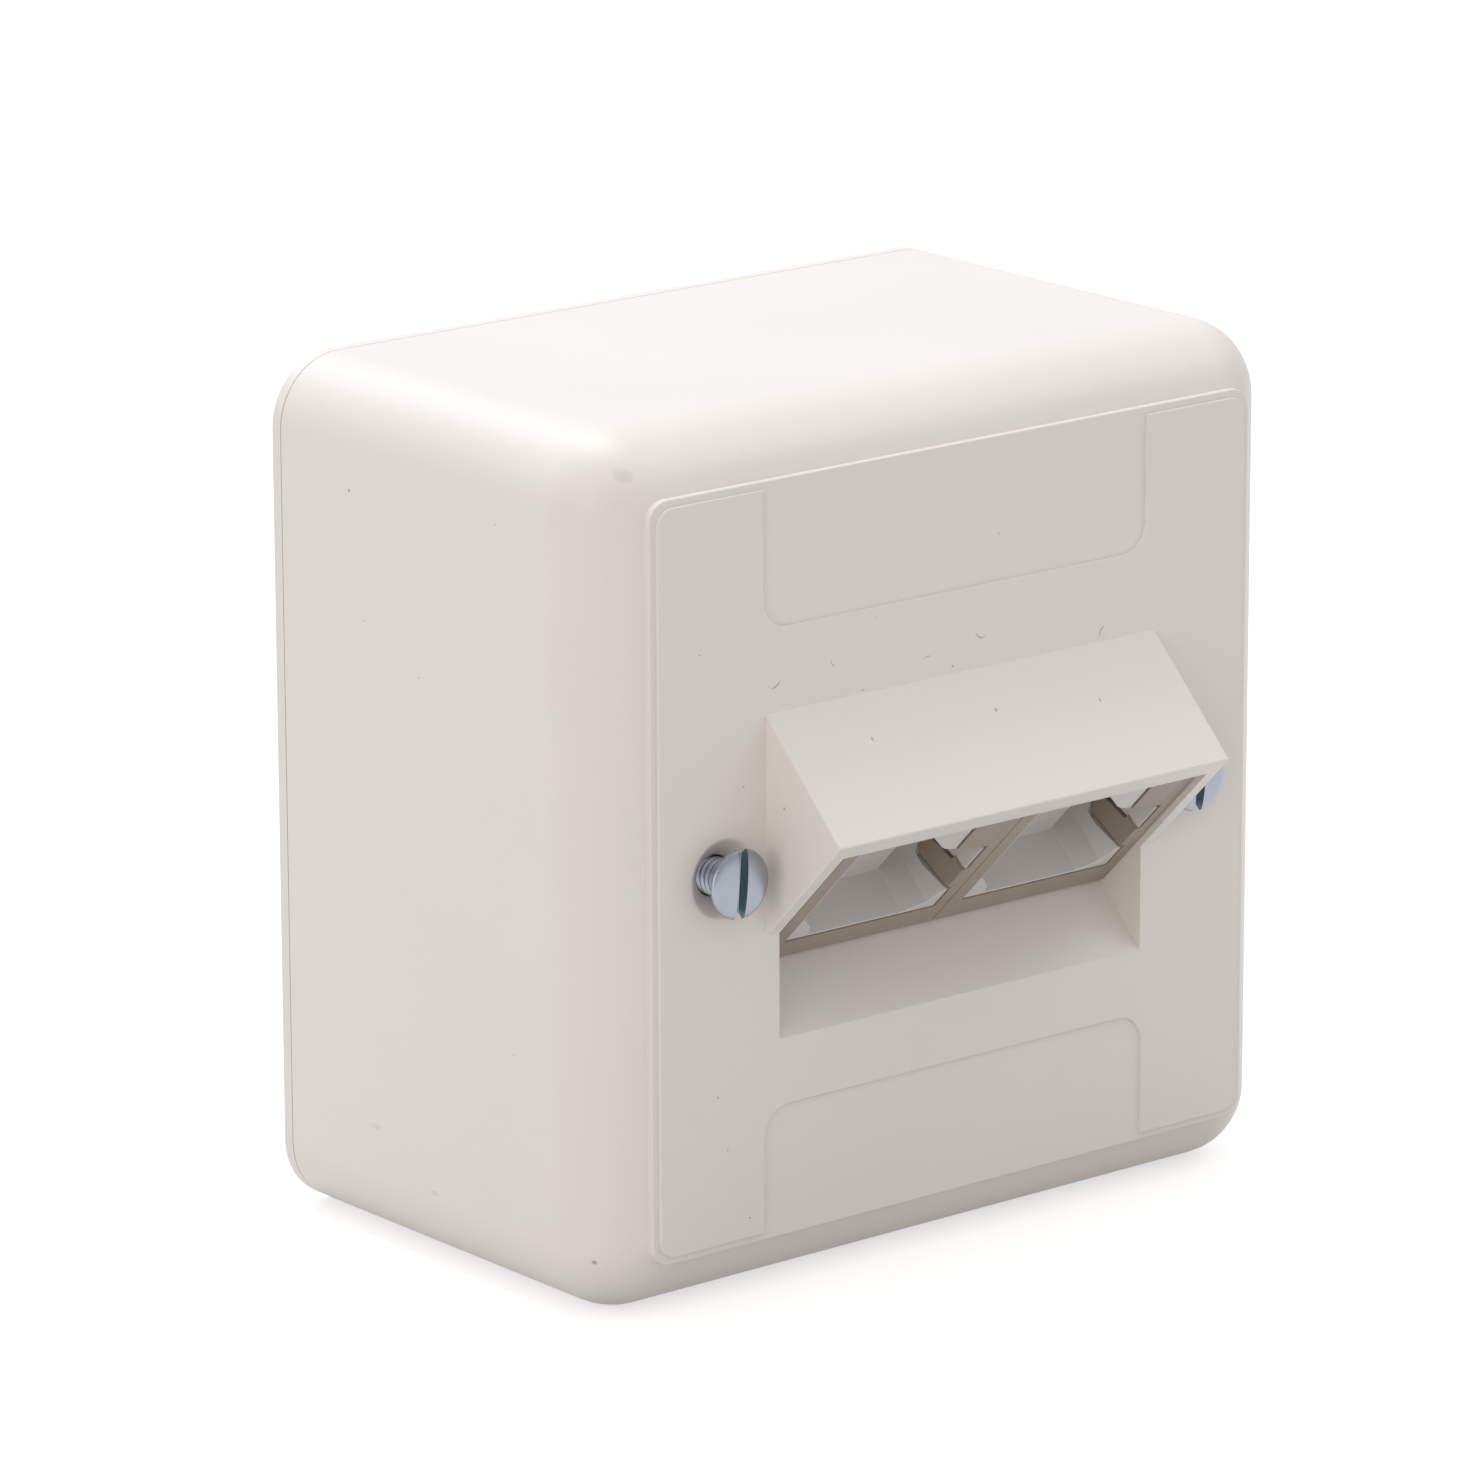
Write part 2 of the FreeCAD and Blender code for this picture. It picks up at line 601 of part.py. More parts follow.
def pull_tab(high):
    """The pull tab of an insert, beside the frame's finger, with a slanted and rounded lower side."""
    right = FRAME_WIDTH - FINGER_WIDTH - TAB_GAP
    low = FRAME_HEIGHT - TAB_FROM_TOP
    foot = right - TAB_FOOT
    outline = [(right, low), (foot, low), (foot - (high - low), high), (right, high)]
    tab = prism(outline, "y", INSERT_RECESS, INSERT_RECESS + TAB_THICK)
    corner = [e for e in edges_along(tab, Vector(0, 1, 0))
              if abs(e.Vertexes[0].X - foot) < SAME and abs(e.Vertexes[0].Z - low) < SAME]
    return tab.makeFillet(TAB_R, corner)


# ---- jack modules -------------------------------------------------------------------------------
def make_jack_housing():
    """A jack's housing: a chamfered shell with a plug opening, a flange and an open back."""
    s = (JACK_S, JACK_S + JACK_WIDTH)
    u = (JACK_U, JACK_U + JACK_HEIGHT)
    body = box(s, (JACK_FRONT_N, JACK_BACK_N), u)
    body = body.makeChamfer(JACK_EDGE, edges_along(body, Vector(0, 1, 0)))
    flange = box((s[0] - JACK_FLANGE, s[1] + JACK_FLANGE), (FLANGE_N, FLANGE_N + JACK_FLANGE_THICK), u)
    body = body.fuse(flange)
    inner_n = JACK_FRONT_N + JACK_FRONT
    hollow = box((s[0] + JACK_WALL, s[1] - JACK_WALL), (inner_n, JACK_BACK_N + OVERCUT),
                 (u[0] + JACK_WALL, u[1] - JACK_WALL))
    middle = FRAME_WIDTH / 2
    low = FRAME_HEIGHT / 2 - PLUG_H / 2
    mouth = (JACK_FRONT_N - OVERCUT, inner_n + OVERCUT)
    plug = box((middle - PLUG_W / 2, middle + PLUG_W / 2), mouth, (low, low + PLUG_H))
    latch = box((middle - LATCH_W / 2, middle + LATCH_W / 2), mouth, (low - LATCH_STEP, low + SAME))
    return body.cut(hollow).cut(plug.fuse(latch))


def contact_block_limits():
    """Where the contact block lies in a housing, under its roof: s, n and u."""
    half = (JACK_WIDTH - 2 * JACK_WALL) / 2 - SEAT_CLEARANCE
    roof = JACK_U + JACK_HEIGHT - JACK_WALL - SEAT_CLEARANCE
    middle = FRAME_WIDTH / 2
    return ((middle - half, middle + half), (BOARD_N - CONTACT_BLOCK_LENGTH, BOARD_N),
            (roof - CONTACT_BLOCK_H, roof))


def contact_places():
    """The middle of each contact across an outlet."""
    first = FRAME_WIDTH / 2 - CONTACT_PITCH * (CONTACT_COUNT - 1) / 2
    return [first + CONTACT_PITCH * index for index in range(CONTACT_COUNT)]


def make_contact_block():
    """The block that holds a jack's contacts in a comb of grooves."""
    s, n, u = contact_block_limits()
    block = box(s, n, u)
    groove = CONTACT_W / 2 + SEAT_CLEARANCE
    for place in contact_places():
        block = block.cut(box((place - groove, place + groove), (n[0] - OVERCUT, n[1] + OVERCUT),
                              (u[0] - OVERCUT, u[0] + 2 * CONTACT_THICK)))
    return block


def make_contacts():
    """Eight contact springs: each lies in its groove and slants forward into the plug space."""
    s, n, u = contact_block_limits()
    seat = u[0] + 2 * CONTACT_THICK
    side = [
        (n[1], seat),
        (n[0], seat),
        (n[0] - CONTACT_REACH, seat - CONTACT_RISE),
        (n[0] - CONTACT_REACH + CONTACT_THICK, seat - CONTACT_RISE - CONTACT_THICK),
        (n[0] + CONTACT_THICK, seat - CONTACT_THICK),
        (n[1], seat - CONTACT_THICK),
    ]
    wires = [prism(side, "x", place - CONTACT_W / 2, place + CONTACT_W / 2) for place in contact_places()]
    return Part.makeCompound(wires)


def make_circuit_board():
    """The board between a jack's contacts and its wire block."""
    s = (FRAME_WIDTH - IDC_WIDTH) / 2
    u = (FRAME_HEIGHT - IDC_HEIGHT) / 2
    return box((s, s + IDC_WIDTH), (BOARD_N, BOARD_N + BOARD_THICK), (u, u + IDC_HEIGHT))


def make_idc_block():
    """The wire block at the back of a jack: two combs of slots for the eight wires."""
    s = (FRAME_WIDTH - IDC_WIDTH) / 2
    u = (FRAME_HEIGHT - IDC_HEIGHT) / 2
    back = IDC_N + IDC_LENGTH
    block = box((s, s + IDC_WIDTH), (IDC_N, back), (u, u + IDC_HEIGHT))
    middle = FRAME_HEIGHT / 2
    block = block.cut(box((s - OVERCUT, s + IDC_WIDTH + OVERCUT), (back - IDC_SLOT_DEEP, back + OVERCUT),
                          (middle - IDC_GROOVE_H / 2, middle + IDC_GROOVE_H / 2)))
    first = FRAME_WIDTH / 2 - IDC_PITCH * (IDC_COUNT - 1) / 2
    for index in range(IDC_COUNT):
        place = first + IDC_PITCH * index
        block = block.cut(box((place - IDC_SLOT_W / 2, place + IDC_SLOT_W / 2),
                              (back - IDC_SLOT_DEEP, back + OVERCUT),
                              (u - OVERCUT, u + IDC_HEIGHT + OVERCUT)))
    return block


# ---- carrier and clamp --------------------------------------------------------------------------
def make_module_carrier():
    """The bent carrier: a slanted plate with two windows, two cheeks and two feet."""
    low = -CARRIER_BELOW
    high = FRAME_HEIGHT + CARRIER_ABOVE
    wall = box((PAIR_SHIFT - CHEEK_OUTER, PAIR_SHIFT + CHEEK_OUTER), (CARRIER_N, CARRIER_N + CARRIER_THICK),
               (low, high))
    for left in port_lefts():
        window = box((left + JACK_S - SEAT_CLEARANCE, left + JACK_S + JACK_WIDTH + SEAT_CLEARANCE),
                     (CARRIER_N - OVERCUT, CARRIER_N + CARRIER_THICK + OVERCUT),
                     (JACK_U - SEAT_CLEARANCE, JACK_U + JACK_HEIGHT + SEAT_CLEARANCE))
        wall = wall.cut(window)
    carrier = tilted(wall)
    for side in (-1, 1):
        carrier = carrier.fuse([carrier_cheek(side), carrier_foot(side)])
    for x, z, height in base_posts():
        hole = cylinder(SMALL_HOLE_R, x, (-PLATE_THICK - LONG, 0), z)
        if z > 0:
            carrier = carrier.cut(hole)
    return carrier


def foot_y():
    """The two faces of the carrier's feet, on top of their posts."""
    seat = -PLATE_THICK - FOOT_PEDESTAL
    return (seat - FOOT_THICK, seat)


def carrier_cheek(side):
    """A side wall of the carrier, from the slanted plate to the foot."""
    top = FRAME_HEIGHT + CARRIER_ABOVE
    outline = [
        slant_point(CARRIER_N, top),
        slant_point(CARRIER_N, -CARRIER_BELOW),
        (foot_y()[1], FOOT_LOW_Z),
        (foot_y()[1], FOOT_HIGH_Z),
        slant_point(CARRIER_N + CHEEK_DEEP, top),
    ]
    outer = PAIR_X + side * CHEEK_OUTER
    inner = outer - side * CARRIER_WALL
    return prism(outline, "x", min(outer, inner), max(outer, inner))


def carrier_foot(side):
    """A foot of the carrier, bent inwards over its post."""
    outer = PAIR_X + side * CHEEK_OUTER
    inner = outer - side * FOOT_WIDTH
    return box((min(outer, inner), max(outer, inner)), foot_y(), (FOOT_LOW_Z, FOOT_HIGH_Z))


def make_cable_clamp():
    """The clamp bar: an arch over the cable between two screw lugs."""
    seat = -PLATE_THICK - CLAMP_PEDESTAL
    z = (CLAMP_Z - CLAMP_HEIGHT / 2, CLAMP_Z + CLAMP_HEIGHT / 2)
    bar = box((-CLAMP_HALF_W, CLAMP_HALF_W), (seat - CLAMP_THICK, seat), z)
    bar = bar.makeFillet(CLAMP_THICK, edges_along(bar, Vector(0, 1, 0)))
    foot = Vector(0, seat, z[0])
    outer = Part.makeCylinder(CLAMP_ARCH_R + CLAMP_ARCH_WALL, CLAMP_HEIGHT, foot, Vector(0, 0, 1))
    inner = Part.makeCylinder(CLAMP_ARCH_R, CLAMP_HEIGHT, foot, Vector(0, 0, 1))
    above = box((-CLAMP_HALF_W, CLAMP_HALF_W), (seat - LONG, seat), z)
    bar = bar.fuse(outer.common(above)).cut(inner)
    for side in (-1, 1):
        bar = bar.cut(cylinder(SMALL_HOLE_R, side * CLAMP_SCREW_X, (seat - LONG, seat), CLAMP_Z))
    return bar


def port_lefts():
    """The left edge of each outlet's frame, measured from the middle of the tube."""
    first = PAIR_SHIFT - (FRAME_PITCH + FRAME_WIDTH) / 2
    return [first, first + FRAME_PITCH]


def main():
    os.makedirs("parts", exist_ok=True)
    save(make_cover(), "cover")
    save(make_base_plate(), "base_plate")
    save(make_grommet(), "entry_grommet")
    save(make_module_carrier(), "module_carrier")
    save(make_cable_clamp(), "cable_clamp")
    outlet_pieces = {
        "port_frame": make_port_frame(),
        "port_insert": make_port_insert(),
        "jack_housing": make_jack_housing(),
        "contact_block": make_contact_block(),
        "jack_contacts": make_contacts(),
        "circuit_board": make_circuit_board(),
        "idc_block": make_idc_block(),
    }
    carrier_seat = foot_y()[0]
    clamp_seat = -PLATE_THICK - CLAMP_PEDESTAL - CLAMP_THICK
    posts = base_posts()
    for index, name in enumerate(("left", "right")):
        x = (-SCREW_X, SCREW_X)[index]
        save(make_cover_screw(x), "cover_screw_" + name)
        save(make_washer(x), "retaining_washer_" + name)
        save(make_nut(x), "insert_nut_" + name)
        for piece, shape in outlet_pieces.items():
            save(in_port(shape, port_lefts()[index]), piece + "_" + name)
        save(make_small_screw(posts[index][0], posts[index][1], carrier_seat), "carrier_screw_" + name)
        save(make_small_screw(posts[index + 2][0], posts[index + 2][1], clamp_seat), "clamp_screw_" + name)


main()
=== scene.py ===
import math

import bmesh
import bpy
from bpy.props import FloatProperty, FloatVectorProperty, IntProperty, PointerProperty
from mathutils import Matrix, Vector


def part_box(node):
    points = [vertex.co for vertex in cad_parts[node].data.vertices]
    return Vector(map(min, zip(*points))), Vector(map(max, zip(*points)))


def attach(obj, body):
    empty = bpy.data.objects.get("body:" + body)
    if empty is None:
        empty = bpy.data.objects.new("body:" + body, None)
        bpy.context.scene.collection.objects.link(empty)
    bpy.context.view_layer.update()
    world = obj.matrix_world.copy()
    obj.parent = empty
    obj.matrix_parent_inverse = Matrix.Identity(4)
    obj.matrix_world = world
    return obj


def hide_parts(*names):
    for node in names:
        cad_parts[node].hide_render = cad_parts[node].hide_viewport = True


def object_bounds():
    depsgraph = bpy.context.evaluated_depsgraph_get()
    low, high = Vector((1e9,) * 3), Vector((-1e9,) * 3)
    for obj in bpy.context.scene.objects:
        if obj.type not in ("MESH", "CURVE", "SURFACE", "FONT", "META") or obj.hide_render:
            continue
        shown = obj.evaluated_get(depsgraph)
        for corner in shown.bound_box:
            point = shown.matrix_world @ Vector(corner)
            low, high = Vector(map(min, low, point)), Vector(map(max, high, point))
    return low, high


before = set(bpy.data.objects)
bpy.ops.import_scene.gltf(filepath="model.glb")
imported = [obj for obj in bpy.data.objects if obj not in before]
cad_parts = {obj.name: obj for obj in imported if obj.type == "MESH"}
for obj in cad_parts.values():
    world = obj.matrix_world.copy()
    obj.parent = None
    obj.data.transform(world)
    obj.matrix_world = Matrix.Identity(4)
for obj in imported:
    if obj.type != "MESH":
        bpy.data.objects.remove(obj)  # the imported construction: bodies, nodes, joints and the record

bl_info = {
    "name": "Jack Box Dressing",
    "version": (1, 0, 0),
    "blender": (4, 5, 0),
    "location": "View3D > Sidebar > Jack Box",
    "description": "Dresses the construction of a two-port surface mount jack box",
    "category": "Object",
}

CAD_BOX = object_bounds()
SIDES = ("left", "right")
MM = 0.001
FRONT = -48 * MM  # the plane of the raised field
OVERCUT = 1 * MM  # how far a cutting tool passes what it cuts
NUDGE = 0.01 * MM  # keeps faces of joined pieces out of one plane
TOUCH = 1e-6  # points closer than this count as one
SHARP = math.radians(40)
SOFT_STEPS = 3
LEAST_CORNER = 0.04  # how small a corner gets where the front turns in, as a share of its radius
# The camera's own axes and its place.
CAMERA_RIGHT = Vector((0.77281791, -0.63462239, -0.00262685))
CAMERA_UP = Vector((0.17031493, 0.20341184, 0.96416619))
CAMERA_PLACE = Vector((-0.47104, -0.59182, 0.20546))
# Soft lights: name, place, size, tint; the stage settings hold their powers.
LIGHTS = (
    ("top", (0, 0.22, 0.8), 0.4, (0.93, 0.96, 1)),
    ("left", (-0.9, -0.3, 0.25), 0.5, (1, 0.92, 0.78)),
    ("back", (0, 0.6, 0.6), 0.5, (0.66, 0.76, 1)),
    ("gleam", (0.55, -0.3, 0.7), 0.3, (1, 1, 1)),
)
# A screw head's crowned face, as shares of its radius and of the crown.
HEAD_FACE = ((0, 0), (0.3, 0.05), (0.55, 0.18), (0.75, 0.35), (0.88, 0.54), (0.94, 0.72), (0.98, 1),
             (1, 1.25))
# Where the thread's crest starts and ends, as shares of the pitch.
CREST = (0.42, 0.58)
# Fills in a pocket's lower corners, in mm from the corner.
RIGHT_FILL = ((-1.25, 0.9), (0.0, 2.9))
LEFT_FILL = ((0.0, 3.3), (1.8, 1.4), (2.4, 0.0))
# The cover's specks and hairs: centre and half sizes in mm, turn in degrees, bend per mm, strength.
MARKS = (
    ((-21, -48, 16.2), (0.75, 0.5, 0.08), 35, 0.5, 0.6),
    ((2.5, -48, 16.6), (0.8, 0.5, 0.07), -20, 0.7, 0.55),
    ((16.9, -48, 14.8), (0.7, 0.5, 0.07), 60, -0.5, 0.55),
    ((-14.7, -48, 17.1), (0.5, 0.5, 0.06), -50, 0.6, 0.45),
    ((-3.7, -48, 15.9), (0.45, 0.5, 0.06), 10, -0.7, 0.45),
    ((-0.7, -48, 14.5), (0.16, 0.4, 0.1), 20, 0, 0.6),
    ((-11.2, -48, 14.1), (0.13, 0.4, 0.1), 0, 0, 0.6),
    ((4.9, -47.7, 25.7), (0.15, 0.4, 0.09), 40, 0, 0.5),
    ((-29.7, -48, 20.4), (0.13, 0.4, 0.09), 0, 0, 0.5),
    ((-9.6, -47.7, 20.5), (0.12, 0.4, 0.09), 30, 0, 0.5),
    ((-24.8, -48, 7.7), (0.13, 0.4, 0.1), 0, 0, 0.5),
    ((-27.8, -48, -20.2), (0.14, 0.4, 0.1), 10, 0, 0.5),
    ((-26.7, -48, -25.3), (0.12, 0.4, 0.09), 0, 0, 0.5),
    ((-24.2, -48, -32.1), (0.14, 0.4, 0.1), 0, 0, 0.5),
    ((-6.4, -48, -22.4), (0.22, 0.4, 0.08), 25, 0, 0.5),
    ((1, -48, -22.6), (0.13, 0.4, 0.09), 0, 0, 0.5),
    ((-12.8, -51.2, 10.6), (0.15, 0.3, 0.2), 0, 0, 0.5),
    ((1.7, -51.1, 10.7), (0.2, 0.3, 0.2), 0, 0, 0.5),
    ((13.3, -52, 9.8), (0.13, 0.3, 0.2), 0, 0, 0.5),
    ((-22.3, -50.5, 5.8), (0.3, 0.15, 0.15), 0, 0, 0.5),
    ((-38.8, -46, 32.6), (1.5, 1.2, 0.8), 30, 0, 0.12),
    ((-36, -45.5, 37), (1.2, 1.2, 0.8), -20, 0, 0.12),
    ((-38.8, -44, -34.2), (0.5, 0.3, 0.25), 0, 0, 0.6),
    ((-40, -11.4, 29.9), (0.4, 0.16, 0.16), 0, 0, 0.75),
    ((-40, -32.6, 30.8), (0.4, 0.12, 0.1), 0, 0, 0.35),
    ((-40, -13.3, 18.3), (0.4, 0.12, 0.1), 0, 0, 0.35),
    ((-40, -21.3, 14.7), (0.4, 0.12, 0.1), 0, 0, 0.35),
    ((-40, -34.5, -17.1), (0.4, 0.12, 0.1), 0, 0, 0.35),
    ((-40, -44.7, -17), (0.4, 0.8, 0.25), 0, 0, 0.12),
    ((-40, -14, -28.8), (0.4, 0.9, 0.3), 0, 0, 0.12),
    ((-40, -22.7, -32.9), (0.4, 0.7, 0.3), 0, 0, 0.12),
)


# ---- settings ----
def length(name, description, default):
    """A length property in metres."""
    return FloatProperty(name=name, description=description, default=default, unit="LENGTH", precision=5)


def colour(name, description, default):
    """A colour property."""
    return FloatVectorProperty(name=name, description=description, default=default, subtype="COLOR",
                               size=3, min=0.0, max=1.0)


def factor(name, description, default):
    """A property between nought and one."""
    return FloatProperty(name=name, description=description, default=default, min=0.0, max=1.0,
                         subtype="FACTOR")


def power(name, description, default):
    """The power of a light."""
    return FloatProperty(name=name, description=description, default=default, unit="POWER")


def angle(name, description, degrees):
    """An angle property."""
    return FloatProperty(name=name, description=description, default=math.radians(degrees),
                         subtype="ANGLE")


class CoverSizes(bpy.types.PropertyGroup):
    depth_edge_r: length("Depth edge radius", "Radius of the four edges along the depth", 0.0065)
    front_edge_r: length("Front edge radius", "Radius of the rounding round the front", 0.008)
    corner_draw: factor("Corner draw", "How fast the corner radius falls as the front turns in", 0.77)
    wall: length("Wall", "Thickness of the side walls", 0.002)
    front_wall: length("Front wall", "Thickness of the front behind the label tongues", 0.0022)
    field_rise: length("Field rise", "Height of the field over its rim", 0.0003)
    rim_rise: length("Rim rise", "Height of the rim over the rounding", 0.0001)
    rim_width: length("Rim width", "Width of the rim round the field", 0.0007)
    field_half_w: length("Field half width", "Half the width of the raised field", 0.0343)
    field_half_h: length("Field half height", "Half the height of the raised field", 0.0340)
    field_r: length("Field corner", "Corner radius of the raised field", 0.0017)
    tongue_half_w: length("Tongue half width", "Half the width of a label tongue", 0.0224)
    tongue_top: length("Upper tongue", "Height of the upper tongue's inner edge", 0.0214)
    tongue_bottom: length("Lower tongue", "Height of the lower tongue's inner edge", -0.0224)
    tongue_r: length("Tongue corner", "Radius of a tongue's inner corners", 0.0028)
    edge_soft: length("Edge softness", "Radius of the small moulded edges", 0.00016)
    segments: IntProperty(name="Segments", description="Segments in a large rounding", default=12, min=2)


class HoodSizes(bpy.types.PropertyGroup):
    centre_x: length("Middle", "Middle of the hood across the box", 0.00065)
    tube_half_w: length("Recess half width", "Half the width of the recess", 0.0214)
    tube_height: length("Recess height", "Height of the slanted recess", 0.0193)
    side_wall: length("Side wall", "Thickness of the hood's side walls", 0.0015)
    lip: length("Lip", "Thickness of the hood's lip", 0.0020)
    inset: length("Inset", "How far the frames sit behind the lip", 0.00058)
    setback: length("Setback", "Depth of the frames' lower edge behind the front", 0.0053)
    floor_z: length("Floor height", "Height of the recess floor at the front", -0.0162)
    top_z: length("Top height", "Height at which the hood leaves the front", 0.0138)
    skirt: length("Skirt", "How far the recess walls pass the frames", 0.0035)
    cut_front: length("Cut front", "Depth at which the cut for the recess starts", -0.05)
    cut_back: length("Cut back", "Depth at which the cut for the recess ends", 0.028)
    tilt: angle("Tilt", "Slant of the outlets", 45)


class ScrewSizes(bpy.types.PropertyGroup):
    pitch: length("Pitch", "Pitch of the cover screws' thread", 0.0006)
    depth: length("Thread depth", "Depth of the cover screws' thread", 0.00034)
    shank_r: length("Shank", "Outer radius of the thread", 0.00175)
    crown: length("Crown", "How far the head's face rises over its rim", 0.0004)
    rim: length("Rim", "Height of the head's rim", 0.00025)
    slot_w: length("Slot width", "Width of the screwdriver slot", 0.001)
    slot_deep: length("Slot depth", "Depth of the screwdriver slot", 0.0011)
    slot_turn: angle("Slot turn", "How the slot stands", 4)
    sink_r: length("Countersink", "Radius of the countersink in the cover", 0.00342)
    hole_r: length("Screw hole", "Radius of the hole behind the countersink", 0.0019)
    boss_deep: length("Boss depth", "Depth of the boss behind the front", 0.0034)
    boss_wall: length("Boss wall", "Wall of the boss round the countersink", 0.0015)
    around: IntProperty(name="Around", description="Segments round a screw", default=64, min=12)


class OutletSizes(bpy.types.PropertyGroup):
    width: length("Frame width", "Width of an outlet's frame", 0.0207)
    height: length("Frame height", "Height of an outlet's frame", 0.0192)
    depth: length("Frame depth", "Depth of an outlet's frame", 0.009)
    left: length("Left border", "Width of the frame's left border", 0.00175)
    right: length("Right border", "Width of the frame's right border", 0.00135)
    bottom: length("Bottom border", "Width of the frame's bottom border", 0.0032)
    top: length("Top border", "Width of the frame's top border", 0.0012)
    collar: length("Collar", "Depth at which the frame widens for the module", 0.0069)
    toe: length("Toe", "Slant of the frame's lower front edge", 0.00045)
    corner_r: length("Frame corners", "Radius of the frame's corners", 0.0004)
    window_r: length("Window corners", "Radius of the window's corners", 0.0003)
    collar_side: length("Collar sides", "Wall of the collar at the sides", 0.00105)
    collar_end: length("Collar ends", "Wall of the collar above and below", 0.0008)
    soft: length("Frame edges", "Rounding of the frame's edges", 0.00009)
    arm_low: length("Arm underside", "Height of the latch arm's underside at the front", 0.0067)
    arm_high: length("Arm top", "Height of the latch arm's top at the front", 0.0096)
    arm_length: length("Arm length", "Length of the latch arm", 0.005)
    arm_drop: length("Arm drop", "How far the latch arm leans down", 0.0011)
    arm_proud: length("Arm thickness", "How far the latch arm stands into the window", 0.0006)
    arm_nose: length("Arm nose", "Slant of the latch arm's lower tip", 0.0005)
    arm_tip: length("Arm tip", "Height of the latch arm's blunt tip", 0.0018)
    arm_rise: length("Arm rise", "Height of the latch arm behind its tip", 0.0026)
    arm_slant: length("Arm slant", "Slant of the latch arm's upper tip", 0.0008)
    web: length("Web", "Half the width of the web by the finger", 0.0006)
    web_drop: length("Web drop", "Drop of the web below the arm's top", 0.0012)
    web_rise: length("Web rise", "Rise of the web above the arm's top", 0.0005)
    web_deep: length("Web depth", "Depth of the web's back", 0.0016)
    finger_width: length("Finger width", "Width of the finger plate", 0.0053)
    finger_low: length("Finger underside", "Height of the finger plate's lower left corner", 0.0142)
    finger_slant: length("Finger slant", "Drop of the finger plate's lower edge", 0.0008)
    finger_thick: length("Finger thickness", "Thickness of the finger plate", 0.0011)
    clearance: length("Clearance", "Gap between insert and frame", 0.00015)
    room: length("Latch room", "Gap between the insert and the frame's latch parts", 0.0003)
    recess: length("Insert recess", "How far the insert sits behind the frame", 0.0001)
    wall: length("Insert wall", "Wall of the insert", 0.0002)
    back: length("Insert back", "Depth of the insert's back", 0.0068)
    pocket: length("Pocket", "Depth of the insert's pocket", 0.0048)
    channel: length("Channel", "Depth of the channel beside the pocket", 0.0063)
    channel_w: length("Channel width", "Width of the channel beside the pocket", 0.0036)
    tab_low: length("Tab underside", "Height of the pull tab's underside", 0.0144)
    tab_foot: length("Tab foot", "Width of the pull tab's foot", 0.0013)
    tab_r: length("Tab corner", "Radius of the pull tab's lower corner", 0.0029)
    tab_gap: length("Tab gap", "Gap between pull tab and finger plate", 0.00028)
    tab_thick: length("Tab thickness", "Thickness of the pull tab", 0.001)


class Finishes(bpy.types.PropertyGroup):
    cover: colour("Cover", "Colour of the moulded cover", (0.775, 0.727, 0.683))
    marks: colour("Marks", "Colour of specks and hairs on the cover", (0.13, 0.115, 0.10))
    frames: colour("Frames", "Colour of the outlet frames", (0.335, 0.280, 0.235))
    inserts: colour("Inserts", "Colour of the inserts", (0.66, 0.62, 0.595))
    # Painted shade: this dark colour is laid inside the screws' slots and stands in for the shade there.
    slots: colour("Slots", "Colour inside the screws' slots", (0.30, 0.36, 0.40))
    screws: colour("Screws", "Colour of the zinc plating", (0.34, 0.36, 0.41))
    cover_rough: factor("Cover roughness", "Roughness of the cover", 0.42)
    grain: factor("Grain", "Strength of the moulded grain", 0.10)


class StageSettings(bpy.types.PropertyGroup):
    ambient: factor("Ambient", "Level of the light from all round", 0.725)
    floor: factor("Floor", "Lightness of the floor", 0.60)
    floor_glow: factor("Floor glow", "How much lighter the floor looks", 0.62)
    top: power("Top light", "Power of the light above", 2.9)
    left: power("Left light", "Power of the light on the left", 1.5)
    back: power("Back light", "Power of the light behind and above", 1.5)
    gleam: power("Gleam", "Power of the small light on the right", 0.6)
    lens: FloatProperty(name="Lens", description="Focal length in millimetres", default=203.3)


# ---- helpers ----
def finished_mesh(bm, name):
    """Turn a bmesh into a mesh, normals outwards."""
    bmesh.ops.recalc_face_normals(bm, faces=bm.faces)
    mesh = bpy.data.meshes.new(name)
    bm.to_mesh(mesh)
    bm.free()
    return mesh


def solid(name, bm):
    """Turn a bmesh into a piece in the scene."""
    piece = bpy.data.objects.new(name, finished_mesh(bm, name))
    bpy.context.scene.collection.objects.link(piece)
    return piece


def bake_modifiers(piece):
    """Replace a piece's mesh by what its modifiers make of it."""
    depsgraph = bpy.context.evaluated_depsgraph_get()
    mesh = bpy.data.meshes.new_from_object(piece.evaluated_get(depsgraph))
    piece.modifiers.clear()
    piece.data = mesh
    return piece


def combine(piece, tool, operation):
    """Join a tool to a piece or cut it away, and remove the tool."""
    step = piece.modifiers.new("combine", "BOOLEAN")
    step.operation = operation
    step.solver = "EXACT"
    step.object = tool
    bake_modifiers(piece)
    bpy.data.objects.remove(tool)
    return piece


def soft_shading(piece):
    """Shade smooth across the roundings and keep the flats flat."""
    piece.data.shade_smooth()
    piece.data.set_sharp_from_angle(angle=SHARP)
    weighted = piece.modifiers.new("weighted normals", "WEIGHTED_NORMAL")
    weighted.keep_sharp = True
    return piece


def depth_edges(bm):
    """The edges that run along the depth."""
    runs = [(e, e.verts[1].co - e.verts[0].co) for e in bm.edges]
    return [e for e, run in runs if abs(run.x) < TOUCH and abs(run.z) < TOUCH]


def front_edges(bm, y):
    """The edges in the plane of that depth."""
    return [e for e in bm.edges if all(abs(v.co.y - y) < TOUCH for v in e.verts)]


def block_bmesh(low, high):
    """A block between two corners."""
    low, high = Vector(low), Vector(high)
    bm = bmesh.new()
    bmesh.ops.create_cube(bm, size=1.0)
    bmesh.ops.scale(bm, vec=high - low, verts=bm.verts)
    bmesh.ops.translate(bm, vec=(low + high) / 2, verts=bm.verts)
    return bm


